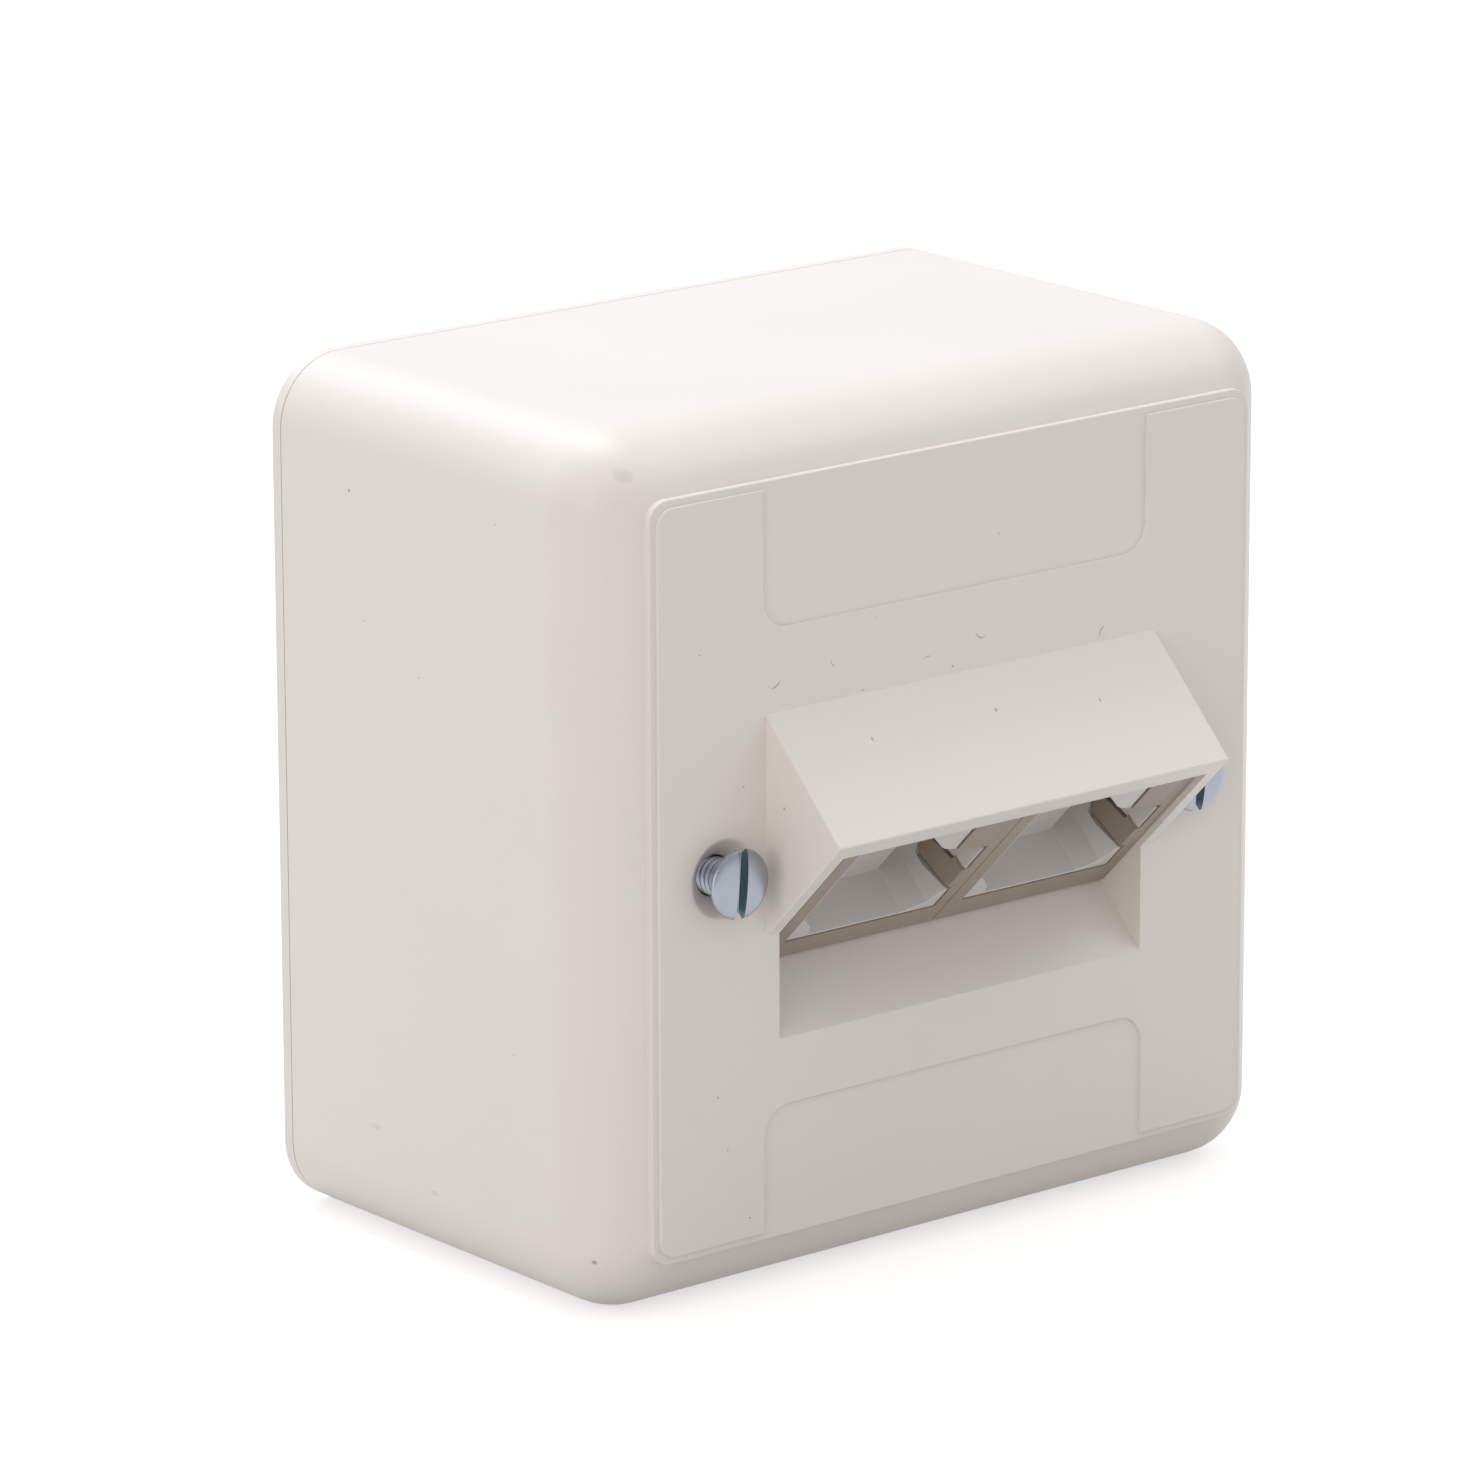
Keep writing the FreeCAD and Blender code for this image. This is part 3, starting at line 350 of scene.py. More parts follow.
def soften(bm, edges, offset, segments):
    """Round some edges."""
    bmesh.ops.bevel(bm, geom=edges, offset=offset, offset_type="OFFSET", affect="EDGES",
                    segments=segments, profile=0.5, material=-1, clamp_overlap=True)


def prism_mesh(outline, axis, low, high):
    """A straight prism over an outline, along X or along Y."""
    bm = bmesh.new()
    if axis == "X":
        corners = [(low, a, b) for a, b in outline]
        run = (high - low, 0, 0)
    else:
        corners = [(a, low, b) for a, b in outline]
        run = (0, high - low, 0)
    face = bm.faces.new([bm.verts.new(corner) for corner in corners])
    made = bmesh.ops.extrude_face_region(bm, geom=[face])
    moved = [v for v in made["geom"] if isinstance(v, bmesh.types.BMVert)]
    bmesh.ops.translate(bm, vec=run, verts=moved)
    return bm


def prism_piece(name, outline, axis, low, high):
    """A straight prism as a piece."""
    return solid(name, prism_mesh(outline, axis, low, high))


def turned_piece(name, outline, x, z, around):
    """An outline of radius and depth, spun about an axis along the depth."""
    bm = bmesh.new()
    points = [bm.verts.new((radius, y, 0)) for radius, y in outline]
    edges = [bm.edges.new(pair) for pair in zip(points, points[1:])]
    bmesh.ops.spin(bm, geom=points + edges, cent=(0, 0, 0), axis=(0, 1, 0), angle=2 * math.pi,
                   steps=around, use_merge=True)
    bmesh.ops.remove_doubles(bm, verts=bm.verts, dist=TOUCH)
    bmesh.ops.translate(bm, vec=(x, 0, z), verts=bm.verts)
    return solid(name, bm)


def bevel_edges(piece, width, angle=SHARP):
    """Round every edge of a piece sharper than an angle."""
    step = piece.modifiers.new("soft edges", "BEVEL")
    step.limit_method = "ANGLE"
    step.angle_limit = angle
    step.width = width
    step.segments = SOFT_STEPS
    return bake_modifiers(piece)


def block_piece(name, low, high):
    """A plain block as a piece."""
    return solid(name, block_bmesh(low, high))


def rod_piece(name, radius, x, y, z, around):
    """A round bar along the depth, between two depths."""
    bm = bmesh.new()
    bmesh.ops.create_cone(bm, cap_ends=True, segments=around, radius1=radius, radius2=radius,
                          depth=y[1] - y[0])
    turn = Matrix.Rotation(math.radians(90), 3, "X")
    bmesh.ops.rotate(bm, cent=(0, 0, 0), matrix=turn, verts=bm.verts)
    bmesh.ops.translate(bm, vec=(x, (y[0] + y[1]) / 2, z), verts=bm.verts)
    return solid(name, bm)


# ---- materials ----
def empty_tree(data):
    """The emptied node tree of a material or a world."""
    data.use_nodes = True
    data.node_tree.nodes.clear()
    return data.node_tree


def add_node(tree, kind, inputs=(), **settings):
    """A node with its settings; each input gets a socket or a value."""
    node = tree.nodes.new(kind)
    for name, setting in settings.items():
        setattr(node, name, setting)
    for name, value in dict(inputs).items():
        if isinstance(value, bpy.types.NodeSocket):
            tree.links.new(value, node.inputs[name])
        else:
            node.inputs[name].default_value = value
    return node


def math_node(tree, operation, *values):
    """The result of a Math node."""
    return add_node(tree, "ShaderNodeMath", enumerate(values), operation=operation).outputs[0]


def vector_node(tree, operation, *values):
    """The result of a Vector Math node."""
    node = add_node(tree, "ShaderNodeVectorMath", enumerate(values), operation=operation)
    return node.outputs["Value" if operation == "LENGTH" else "Vector"]


def colour_mix(tree, share, low, high):
    """A mix of two colours."""
    mix = add_node(tree, "ShaderNodeMix", {"Factor": share, "A": low, "B": high}, data_type="RGBA")
    return mix.outputs["Result"]


def turned_place(tree, centre, angle):
    """The object coordinates, turned about an axis along the depth."""
    place = tree.nodes.new("ShaderNodeTexCoord").outputs["Object"]
    turned = {"Vector": place, "Center": centre, "Angle": angle}
    return add_node(tree, "ShaderNodeVectorRotate", turned, rotation_type="Y_AXIS").outputs["Vector"]


def split(tree, vector):
    """The three parts of a vector."""
    return add_node(tree, "ShaderNodeSeparateXYZ", {0: vector}).outputs


def fade(tree, value, start, end, low, high):
    """A soft step of a value from low to high."""
    ramp = {"Value": value, "From Min": start, "From Max": end, "To Min": low, "To Max": high}
    return add_node(tree, "ShaderNodeMapRange", ramp, interpolation_type="SMOOTHSTEP").outputs["Result"]


def lay_over(tree, mask, tint):
    """Lay a tint over a material's colour where the mask says."""
    base = tree.nodes["Principled BSDF"].inputs["Base Color"]
    tree.links.new(colour_mix(tree, mask, base.links[0].from_socket, (*tint, 1)), base)


def new_group(name, inputs, outputs):
    """A node group with sockets of the named kinds, and the ends inside it."""
    group = bpy.data.node_groups.new(name, "ShaderNodeTree")
    for way, sockets in (("INPUT", inputs), ("OUTPUT", outputs)):
        for label, kind in sockets.items():
            group.interface.new_socket(label, in_out=way, socket_type="NodeSocket" + kind)
    return group, group.nodes.new("NodeGroupInput").outputs, group.nodes.new("NodeGroupOutput").inputs


def grain_group():
    """Fine moulded grain: a height for bump and a slow drift for colour."""
    group = bpy.data.node_groups.get("moulded_grain")
    if group:
        return group
    group, inside, outside = new_group("moulded_grain", {"Fine scale": "Float", "Slow scale": "Float"},
                                       {"Height": "Float", "Drift": "Float"})
    place = group.nodes.new("ShaderNodeTexCoord").outputs["Object"]
    for label, result in (("Fine scale", "Height"), ("Slow scale", "Drift")):
        values = {"Vector": place, "Scale": inside[label], "Detail": 3.0}
        noise = add_node(group, "ShaderNodeTexNoise", values)
        group.links.new(noise.outputs["Fac"], outside[result])
    return group


def mark_group():
    """A speck or hair: a flattened ball round a centre, turned and bent in the front plane."""
    group = bpy.data.node_groups.get("mark")
    if group:
        return group
    inputs = {"Centre": "Vector", "Half size": "Vector", "Turn": "Float", "Bend": "Float",
              "Strength": "Float"}
    group, inside, outside = new_group("mark", inputs, {"Mask": "Float"})
    turned = turned_place(group, inside["Centre"], inside["Turn"])
    parts = split(group, vector_node(group, "SUBTRACT", turned, inside["Centre"]))
    square = math_node(group, "MULTIPLY", parts["X"], parts["X"])
    rise = math_node(group, "MULTIPLY", square, inside["Bend"])
    bent = {"X": parts["X"], "Y": parts["Y"], "Z": math_node(group, "SUBTRACT", parts["Z"], rise)}
    joined = add_node(group, "ShaderNodeCombineXYZ", bent).outputs[0]
    away = vector_node(group, "LENGTH", vector_node(group, "DIVIDE", joined, inside["Half size"]))
    mask = fade(group, away, 0.6, 1.1, 1.0, 0.0)
    group.links.new(math_node(group, "MULTIPLY", mask, inside["Strength"]), outside["Mask"])
    return group


def add_marks(tree, marks, tint):
    """Lay every speck and hair over a plastic's colour."""
    mask = None
    for centre, half, turn, bend, strength in marks:
        values = {"Centre": [c * MM for c in centre], "Half size": [h * MM for h in half],
                  "Turn": math.radians(turn), "Bend": bend / MM, "Strength": strength}
        found = add_node(tree, "ShaderNodeGroup", values, node_tree=mark_group()).outputs["Mask"]
        mask = found if mask is None else math_node(tree, "MAXIMUM", mask, found)
    lay_over(tree, mask, tint)


def surface(name, tint, drift, scales, gloss, bump, more):
    """A Principled material with fine grain and a slow drift of colour and gloss.

    drift: the darkest and lightest share of the tint; scales: of the grain and of the drift;
    gloss: the roughness and how far it drifts; bump: strength and distance; more: other inputs.
    """
    material = bpy.data.materials.new(name)
    tree = empty_tree(material)
    fine, slow = scales
    rough, spread = gloss
    strength, distance = bump
    grain = add_node(tree, "ShaderNodeGroup", {"Fine scale": fine, "Slow scale": slow},
                     node_tree=grain_group()).outputs
    low, high = [(*[min(1, c * share) for c in tint], 1) for share in drift]
    relief = add_node(tree, "ShaderNodeBump", {"Strength": strength, "Distance": distance,
                                               "Height": grain["Height"]})
    shader = add_node(tree, "ShaderNodeBsdfPrincipled", {
        "Base Color": colour_mix(tree, grain["Drift"], low, high),
        "Roughness": math_node(tree, "MULTIPLY_ADD", grain["Drift"], 2 * spread, rough - spread),
        "Normal": relief.outputs["Normal"], **more})
    add_node(tree, "ShaderNodeOutputMaterial", {"Surface": shader.outputs["BSDF"]})
    return material


def plastic(name, tint, rough, grain, fine=2600.0):
    """Moulded plastic."""
    return surface(name, tint, (0.97, 1.03), (fine, 45.0), (rough, 0.05), (grain, 0.1 * MM),
                   {"IOR": 1.5})


def metal(name, tint, rough, scratch):
    """Plated or turned metal."""
    return surface(name, tint, (0.9, 1.08), (5200.0, 600.0), (rough, 0.1), (scratch, 0.05 * MM),
                   {"Metallic": 1.0})


def give(piece, material):
    """Put one material in a piece's slot."""
    slots = piece.data.materials
    if not slots:
        slots.append(material)
    for index in range(len(slots)):
        slots[index] = material
    return piece


def screw_axis(side):
    """The middle of a cover screw."""
    low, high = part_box("cover_screw_" + side)
    return (low + high) / 2


# ---- cover ----
def rounded_block(name, low, high, depth_r, front_r, draw, segments):
    """A block with round depth edges, drawn in step by step to a round front."""
    low, high = Vector(low), Vector(high)
    half = (high - low) / 2
    middle = (low + high) / 2
    bm = block_bmesh((low.x, low.y + front_r, low.z), high)
    soften(bm, depth_edges(bm), depth_r, segments)
    front = next(f for f in bm.faces if all(abs(v.co.y - low.y - front_r) < TOUCH for v in f.verts))
    arcs = []
    for vertex in front.verts:
        aside = vertex.co - middle
        side = (math.copysign(1, aside.x), math.copysign(1, aside.z))
        arcs.append((side, ((aside.x - side[0] * (half.x - depth_r)) / depth_r,
                            (aside.z - side[1] * (half.z - depth_r)) / depth_r)))
    for step in range(1, segments + 1):
        angle = math.pi / 2 * step / segments
        inset = front_r * (1 - math.cos(angle))
        radius = max(depth_r - draw * inset, depth_r * LEAST_CORNER)
        front = bmesh.ops.extrude_discrete_faces(bm, faces=[front])["faces"][0]
        for vertex, (side, away) in zip(front.verts, arcs):
            vertex.co = (middle.x + side[0] * (half.x - inset - radius) + away[0] * radius,
                         low.y + front_r * (1 - math.sin(angle)),
                         middle.z + side[1] * (half.z - inset - radius) + away[1] * radius)
    return solid(name, bm)


def plate_piece(name, half_w, half_h, y, corner_r, edge_r, segments):
    """A flat plate with round corners and a soft front edge."""
    bm = block_bmesh((-half_w, y[0], -half_h), (half_w, y[1], half_h))
    soften(bm, depth_edges(bm), corner_r, segments)
    soften(bm, front_edges(bm, y[0]), edge_r, SOFT_STEPS)
    return solid(name, bm)


def tongue_piece(sizes, inner_z, side):
    """The tool that sinks a label tongue into the field."""
    outer_z = side * (sizes.field_half_h + 2 * OVERCUT)
    low = (-sizes.tongue_half_w, FRONT - OVERCUT, min(inner_z, outer_z))
    high = (sizes.tongue_half_w, FRONT + sizes.field_rise, max(inner_z, outer_z))
    bm = block_bmesh(low, high)
    inner = [e for e in depth_edges(bm) if abs(e.verts[0].co.z - inner_z) < TOUCH]
    soften(bm, inner, sizes.tongue_r, sizes.segments // 2)
    return solid("tongue", bm)


def field_piece(sizes, back):
    """The raised field with its two sunk tongues and soft front edges."""
    bm = block_bmesh((-sizes.field_half_w, FRONT, -sizes.field_half_h),
                     (sizes.field_half_w, back, sizes.field_half_h))
    soften(bm, depth_edges(bm), sizes.field_r, sizes.segments // 2)
    field = solid("field", bm)
    combine(field, tongue_piece(sizes, sizes.tongue_top, 1), "DIFFERENCE")
    combine(field, tongue_piece(sizes, sizes.tongue_bottom, -1), "DIFFERENCE")
    bm = bmesh.new()
    bm.from_mesh(field.data)
    soften(bm, front_edges(bm, FRONT), sizes.edge_soft, SOFT_STEPS)
    field.data = finished_mesh(bm, "field")
    return field


def port_matrix(hood):
    """From the slanted frame of the outlets to the box."""
    origin = Vector((hood.centre_x, FRONT + hood.setback, hood.floor_z + hood.setback))
    return Matrix.Translation(origin) @ Matrix.Rotation(hood.tilt, 4, "X")


def hood_piece(sizes, hood):
    """The solid wedge of the hood with soft outer edges."""
    half = hood.tube_half_w + hood.side_wall
    nose = port_matrix(hood) @ Vector((0, -hood.inset, hood.tube_height + hood.lip))
    low_z = nose.z - (FRONT - nose.y) / math.tan(hood.tilt)
    inside = FRONT + sizes.front_wall / 2
    outline = [(FRONT, hood.top_z), (nose.y, nose.z), (FRONT, low_z), (inside, low_z),
               (inside, hood.top_z)]
    wedge = prism_mesh(outline, "X", hood.centre_x - half, hood.centre_x + half)
    outer = [e for e in wedge.edges if any(abs(v.co.y - nose.y) < TOUCH for v in e.verts)]
    soften(wedge, outer, sizes.edge_soft, SOFT_STEPS)
    return solid("hood", wedge)


def tube_piece(name, hood, low, high):
    """A slanted block between two corners of the outlets' own frame."""
    bm = block_bmesh(low, high)
    bmesh.ops.transform(bm, matrix=port_matrix(hood), verts=bm.verts)
    return solid(name, bm)


def build_cover(scene):
    """The moulded cover, made like the real one: shell, field, hood, recess and bosses."""
    sizes = scene.jack_box_cover
    hood = scene.jack_box_hood
    screws = scene.jack_box_screws
    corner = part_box("base_plate")[0]
    half_w, half_h = -corner.x, -corner.z
    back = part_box("cover")[1].y
    rim = FRONT + sizes.field_rise
    body = rim + sizes.rim_rise
    inner = body + sizes.front_wall
    middle = body + sizes.front_wall / 2
    wall = sizes.wall

    cover = rounded_block("cover_moulding", (-half_w, body, -half_h), (half_w, back, half_h),
                          sizes.depth_edge_r, sizes.front_edge_r, sizes.corner_draw, sizes.segments)
    inner_r = sizes.depth_edge_r - wall
    hollow = rounded_block("hollow", (wall - half_w, inner, wall - half_h),
                           (half_w - wall, back + OVERCUT, half_h - wall), inner_r, inner_r,
                           sizes.corner_draw, sizes.segments // 2)
    combine(cover, hollow, "DIFFERENCE")
    rim_piece = plate_piece("rim", sizes.field_half_w + sizes.rim_width,
                            sizes.field_half_h + sizes.rim_width, (rim, middle),
                            sizes.field_r + sizes.rim_width / 2, sizes.edge_soft, sizes.segments // 2)
    combine(cover, rim_piece, "UNION")
    combine(cover, field_piece(sizes, middle), "UNION")
    combine(cover, hood_piece(sizes, hood), "UNION")

    thick = wall * 0.75
    reach = hood.tube_half_w + thick
    sleeve = tube_piece("sleeve", hood, (-reach, hood.cut_front, -thick),
                        (reach, hood.skirt, hood.tube_height + thick))
    inside = block_piece("inside", (-half_w, middle, -half_h), (half_w, back, half_h))
    combine(sleeve, inside, "INTERSECT")
    combine(cover, sleeve, "UNION")
    for side in SIDES:
        axis = screw_axis(side)
        boss = rod_piece("boss", screws.sink_r + screws.boss_wall, axis.x,
                         (middle, FRONT + screws.boss_deep), axis.z, screws.around)
        combine(cover, boss, "UNION")
    tube = tube_piece("tube", hood, (-hood.tube_half_w, hood.cut_front, 0),
                      (hood.tube_half_w, hood.cut_back, hood.tube_height))
    combine(cover, tube, "DIFFERENCE")
    soft = sizes.edge_soft
    end = FRONT + screws.boss_deep + OVERCUT
    sink = [
        (0, FRONT - OVERCUT),
        (screws.sink_r + soft * 2, FRONT - OVERCUT),
        (screws.sink_r + soft * 2, FRONT),
        (screws.sink_r + soft * 0.6, FRONT + soft * 0.5),
        (screws.sink_r - soft, FRONT + soft * 1.7),
        (screws.hole_r, FRONT + screws.sink_r - screws.hole_r),
        (screws.hole_r, end),
        (0, end),
    ]
    for side in SIDES:
        axis = screw_axis(side)
        combine(cover, turned_piece("countersink", sink, axis.x, axis.z, screws.around), "DIFFERENCE")
    return soft_shading(cover)


# ---- cover screws ----
def thread_bmesh(screws, radius, start, end):
    """A threaded shank: one pitch of the flank outline, spun round while it climbs."""
    bm = bmesh.new()
    root = radius - screws.depth
    outline = [(root, 0), (radius, CREST[0]), (radius, CREST[1]), (root, 1)]
    points = [bm.verts.new((r, start + share * screws.pitch, 0)) for r, share in outline]
    edges = [bm.edges.new(pair) for pair in zip(points, points[1:])]
    turns = int((end - start) / screws.pitch) - 1
    climb = (0, screws.pitch / screws.around, 0)
    bmesh.ops.spin(bm, geom=points + edges, cent=(0, 0, 0), axis=(0, 1, 0), dvec=climb,
                   angle=turns * 2 * math.pi, steps=turns * screws.around, use_merge=False)
    bmesh.ops.remove_doubles(bm, verts=bm.verts, dist=TOUCH)
    return bm


def build_cover_screw(scene, side):
    """A cover screw: crowned slotted countersunk head and a real thread."""
    screws = scene.jack_box_screws
    low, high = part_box("cover_screw_" + side)
    axis = screw_axis(side)
    head_r = (high.x - low.x) / 2
    face = low.y
    crown = screws.crown
    rim = face + crown + screws.rim
    neck = rim + head_r - screws.shank_r
    outline = [(head_r * across, face + crown * deep) for across, deep in HEAD_FACE]
    outline += [(head_r, rim), (head_r - crown * 0.1, rim + crown * 0.1), (screws.shank_r, neck),
                (0, neck)]
    screw = turned_piece("cover_screw_head", outline, 0, 0, screws.around)
    slot = block_bmesh((-screws.slot_w / 2, face - OVERCUT, -2 * head_r),
                       (screws.slot_w / 2, face + screws.slot_deep, 2 * head_r))
    soften(slot, front_edges(slot, face + screws.slot_deep), screws.slot_w * 0.12, 2)
    turn = Matrix.Rotation(screws.slot_turn, 3, "Y")
    bmesh.ops.rotate(slot, cent=(0, 0, 0), matrix=turn, verts=slot.verts)
    combine(screw, solid("slot", slot), "DIFFERENCE")
    root = screws.shank_r - screws.depth * 0.9
    combine(screw, rod_piece("core", root, 0, (neck - crown, high.y), 0, screws.around), "UNION")
    thread = thread_bmesh(screws, screws.shank_r, neck - screws.pitch, high.y)
    threaded = bmesh.new()
    threaded.from_mesh(screw.data)
    threaded.from_mesh(finished_mesh(thread, "thread"))
    bmesh.ops.translate(threaded, vec=(axis.x, 0, axis.z), verts=threaded.verts)
    threaded.to_mesh(screw.data)
    threaded.free()
    screw.name = "slotted_screw_" + side
    return soft_shading(screw)


def paint_slot_shade(tree, side, screws, tint):
    """Paint shade inside a screw's slot: a painted shade laid over the zinc, darker with depth."""
    axis = screw_axis(side)
    parts = split(tree, turned_place(tree, axis, -screws.slot_turn))
    aside = math_node(tree, "ABSOLUTE", math_node(tree, "SUBTRACT", parts["X"], axis.x))
    within = math_node(tree, "LESS_THAN", aside, screws.slot_w * 0.51)
    deep = math_node(tree, "SUBTRACT", parts["Y"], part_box("cover_screw_" + side)[0].y)
    shallow = math_node(tree, "LESS_THAN", deep, screws.slot_deep * 1.05)
    mask = math_node(tree, "MULTIPLY", within, shallow)
    # Painted shade: the darkening grows with the depth into the slot.
    mask = math_node(tree, "MULTIPLY", mask, fade(tree, deep, 0.0, screws.crown * 0.4, 0.0, 0.9))
    lay_over(tree, mask, tint)


# ---- outlets ----
def into_box(piece, scene, side):
    """Move an outlet's piece from its own slanted frame to its place in the box."""
    hood = scene.jack_box_hood
    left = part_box("port_frame_" + side)[0].x - hood.centre_x
    piece.data.transform(port_matrix(hood) @ Matrix.Translation((left, 0, 0)))
    return soft_shading(piece)


def arm_outline(outlet, room):
    """The latch arm from its side, as depth and height, grown by some room."""
    tip = outlet.arm_low - outlet.arm_drop
    reach = outlet.arm_length
    return [(-room, outlet.arm_low - room), (reach - outlet.arm_nose, tip - room),
            (reach + room, tip + outlet.arm_nose), (reach + room, tip + outlet.arm_tip),
            (reach - outlet.arm_slant, tip + outlet.arm_rise + room), (-room, outlet.arm_high + room)]


def finger_piece(outlet, room):
    """The finger plate, grown by some room."""
    low = outlet.finger_low - room
    left = outlet.width - outlet.finger_width - room
    right = outlet.width - outlet.right / 2
    high = outlet.height - outlet.top / 2
    outline = [(left, low), (right, low - outlet.finger_slant), (right, high), (left, high)]
    return prism_piece("finger", outline, "Y", -room, outlet.finger_thick + room)


def frame_piece(outlet, name):
    """The frame of an outlet with its latch arm and its finger plate."""
    window_right = outlet.width - outlet.right
    window_top = outlet.height - outlet.top
    bm = block_bmesh((0, 0, 0), (outlet.width, outlet.depth, outlet.height))
    soften(bm, depth_edges(bm), outlet.corner_r, 4)
    piece = solid(name, bm)
    toe = [(-OVERCUT, -OVERCUT), (outlet.toe + OVERCUT, -OVERCUT), (-OVERCUT, outlet.toe + OVERCUT)]
    combine(piece, prism_piece("toe", toe, "X", -OVERCUT, outlet.width + OVERCUT), "DIFFERENCE")
    bm = block_bmesh((outlet.left, -OVERCUT, outlet.bottom), (window_right, outlet.collar, window_top))
    soften(bm, depth_edges(bm), outlet.window_r, SOFT_STEPS)
    combine(piece, solid("window", bm), "DIFFERENCE")
    collar = block_piece("collar", (outlet.collar_side, outlet.collar, outlet.collar_end),
                         (outlet.width - outlet.collar_side, outlet.depth + OVERCUT,
                          outlet.height - outlet.collar_end))
    combine(piece, collar, "DIFFERENCE")
    bevel_edges(piece, outlet.soft)
    bm = prism_mesh(arm_outline(outlet, 0), "X", window_right - outlet.arm_proud,
                    outlet.width - outlet.right / 2)
    deep = [e for e in bm.edges if min(v.co.y for v in e.verts) > outlet.arm_length * 0.7
            and abs(e.verts[0].co.x - e.verts[1].co.x) > outlet.arm_proud]
    soften(bm, deep, outlet.corner_r, 4)
    bmesh.ops.translate(bm, vec=(0, 2 * NUDGE, 0), verts=bm.verts)
    arm = bevel_edges(solid("arm", bm), outlet.soft)
    combine(piece, arm, "UNION")
    left = window_right - outlet.web
    right = window_right + outlet.web
    top = outlet.arm_high
    low = top - outlet.web_drop
    high = top + outlet.web_rise
    web = [(left, low), (left, top - 10 * NUDGE), (left + outlet.web * 2 / 3, top + 8 * NUDGE),
           (window_right, high), (right, high), (right, low)]
    combine(piece, prism_piece("web", web, "Y", 4 * NUDGE, outlet.web_deep), "UNION")
    finger = finger_piece(outlet, 0)
    finger.data.transform(Matrix.Translation((0, 3 * NUDGE, 0)))
    return combine(piece, bevel_edges(finger, outlet.soft), "UNION")


def insert_piece(outlet, name):
    """The insert of an outlet: pocket, channel, latch cut-outs and pull tab."""
    window_right = outlet.width - outlet.right
    left = outlet.left + outlet.clearance
    right = window_right - outlet.clearance
    low = outlet.bottom + outlet.clearance
    high = outlet.height - outlet.top - outlet.clearance
    piece = block_piece(name, (left, outlet.recess, low), (right, outlet.back, high))
    inner_left = left + outlet.wall
    inner_right = right - outlet.wall
    inner_top = high - outlet.wall
    floor = low + outlet.wall
    edge = inner_right - outlet.channel_w
    corner = [(edge, floor)] + [(inner_right + x * MM, floor + z * MM) for x, z in RIGHT_FILL]
    pocket = corner + [(inner_right, inner_top), (inner_left, inner_top)]
    pocket += [(inner_left + x * MM, floor + z * MM) for x, z in LEFT_FILL]
    channel = corner + [(inner_right, inner_top), (edge, inner_top)]
    combine(piece, prism_piece("pocket", pocket, "Y", -OVERCUT, outlet.pocket), "DIFFERENCE")
    combine(piece, prism_piece("channel", channel, "Y", -2 * OVERCUT, outlet.channel), "DIFFERENCE")
    bevel_edges(piece, outlet.wall * 0.9, math.radians(12))
    tab_right = outlet.width - outlet.finger_width - outlet.tab_gap
    foot = tab_right - outlet.tab_foot
    rise = high - outlet.tab_low
    tab = [(tab_right, outlet.tab_low), (foot, outlet.tab_low), (foot - rise, high), (tab_right, high)]
    bm = prism_mesh(tab, "Y", outlet.recess + 2 * NUDGE, outlet.recess + outlet.tab_thick)
    round_edges = [e for e in depth_edges(bm) if abs(e.verts[0].co.x - foot) < TOUCH
                   and abs(e.verts[0].co.z - outlet.tab_low) < TOUCH]
    soften(bm, round_edges, outlet.tab_r * math.tan(math.radians(22.5)), 8)
    tab = bevel_edges(solid("tab", bm), outlet.wall * 0.6)
    combine(piece, tab, "UNION")
    room = outlet.room
    arm = prism_piece("arm_room", arm_outline(outlet, room), "X", window_right - outlet.arm_proud - room,
                      window_right + OVERCUT)
    combine(piece, arm, "DIFFERENCE")
    return combine(piece, finger_piece(outlet, room), "DIFFERENCE")


# ---- operators ----
class JACKBOX_OT_cover(bpy.types.Operator):
    """Make the moulded cover"""

    bl_idname = "jackbox.cover"
    bl_label = "Cover"

    def execute(self, context):
        finishes = context.scene.jack_box_finishes
        cover = build_cover(context.scene)
        material = plastic("cover_cream", finishes.cover, finishes.cover_rough, finishes.grain)
        add_marks(material.node_tree, MARKS, finishes.marks)
        give(cover, material)
        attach(cover, "housing")
        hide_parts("cover")
        give(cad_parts["base_plate"], plastic("base_cream", finishes.cover, 0.45, 0.1))
        return {"FINISHED"}


class JACKBOX_OT_screws(bpy.types.Operator):
    """Make the two cover screws"""

    bl_idname = "jackbox.screws"
    bl_label = "Cover screws"

    def execute(self, context):
        finishes = context.scene.jack_box_finishes
        zinc = (finishes.screws, 0.32, 0.05)
        for side in SIDES:
            # Each cover screw gets its own zinc with painted shade inside its slot.
            plated = metal("zinc_plating_" + side, *zinc)
            paint_slot_shade(plated.node_tree, side, context.scene.jack_box_screws, finishes.slots)
            piece = give(build_cover_screw(context.scene, side), plated)
            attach(piece, "screw_" + side)
            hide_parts("cover_screw_" + side)
        plain = metal("zinc_plating", *zinc)
        for node in ("carrier_screw_", "clamp_screw_"):
            for side in SIDES:
                give(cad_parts[node + side], plain)
        return {"FINISHED"}


class JACKBOX_OT_outlets(bpy.types.Operator):
    """Make the two outlets: frames and inserts"""

    bl_idname = "jackbox.outlets"
    bl_label = "Outlets"

    def execute(self, context):
        scene = context.scene
        finishes = scene.jack_box_finishes
        taupe = plastic("frame_taupe", finishes.frames, 0.45, 0.12)
        white = plastic("insert_white", finishes.inserts, 0.4, 0.06)
        for side in SIDES:
            for build, node, label, slot, material in (
                    (frame_piece, "port_frame_", "outlet_frame_", "frame_plastic", taupe),
                    (insert_piece, "port_insert_", "outlet_insert_", "insert_plastic", white)):
                piece = build(scene.jack_box_outlets, label + side)
                give(into_box(piece, scene, side), material)
                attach(piece, "housing")
                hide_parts(node + side)
        return {"FINISHED"}


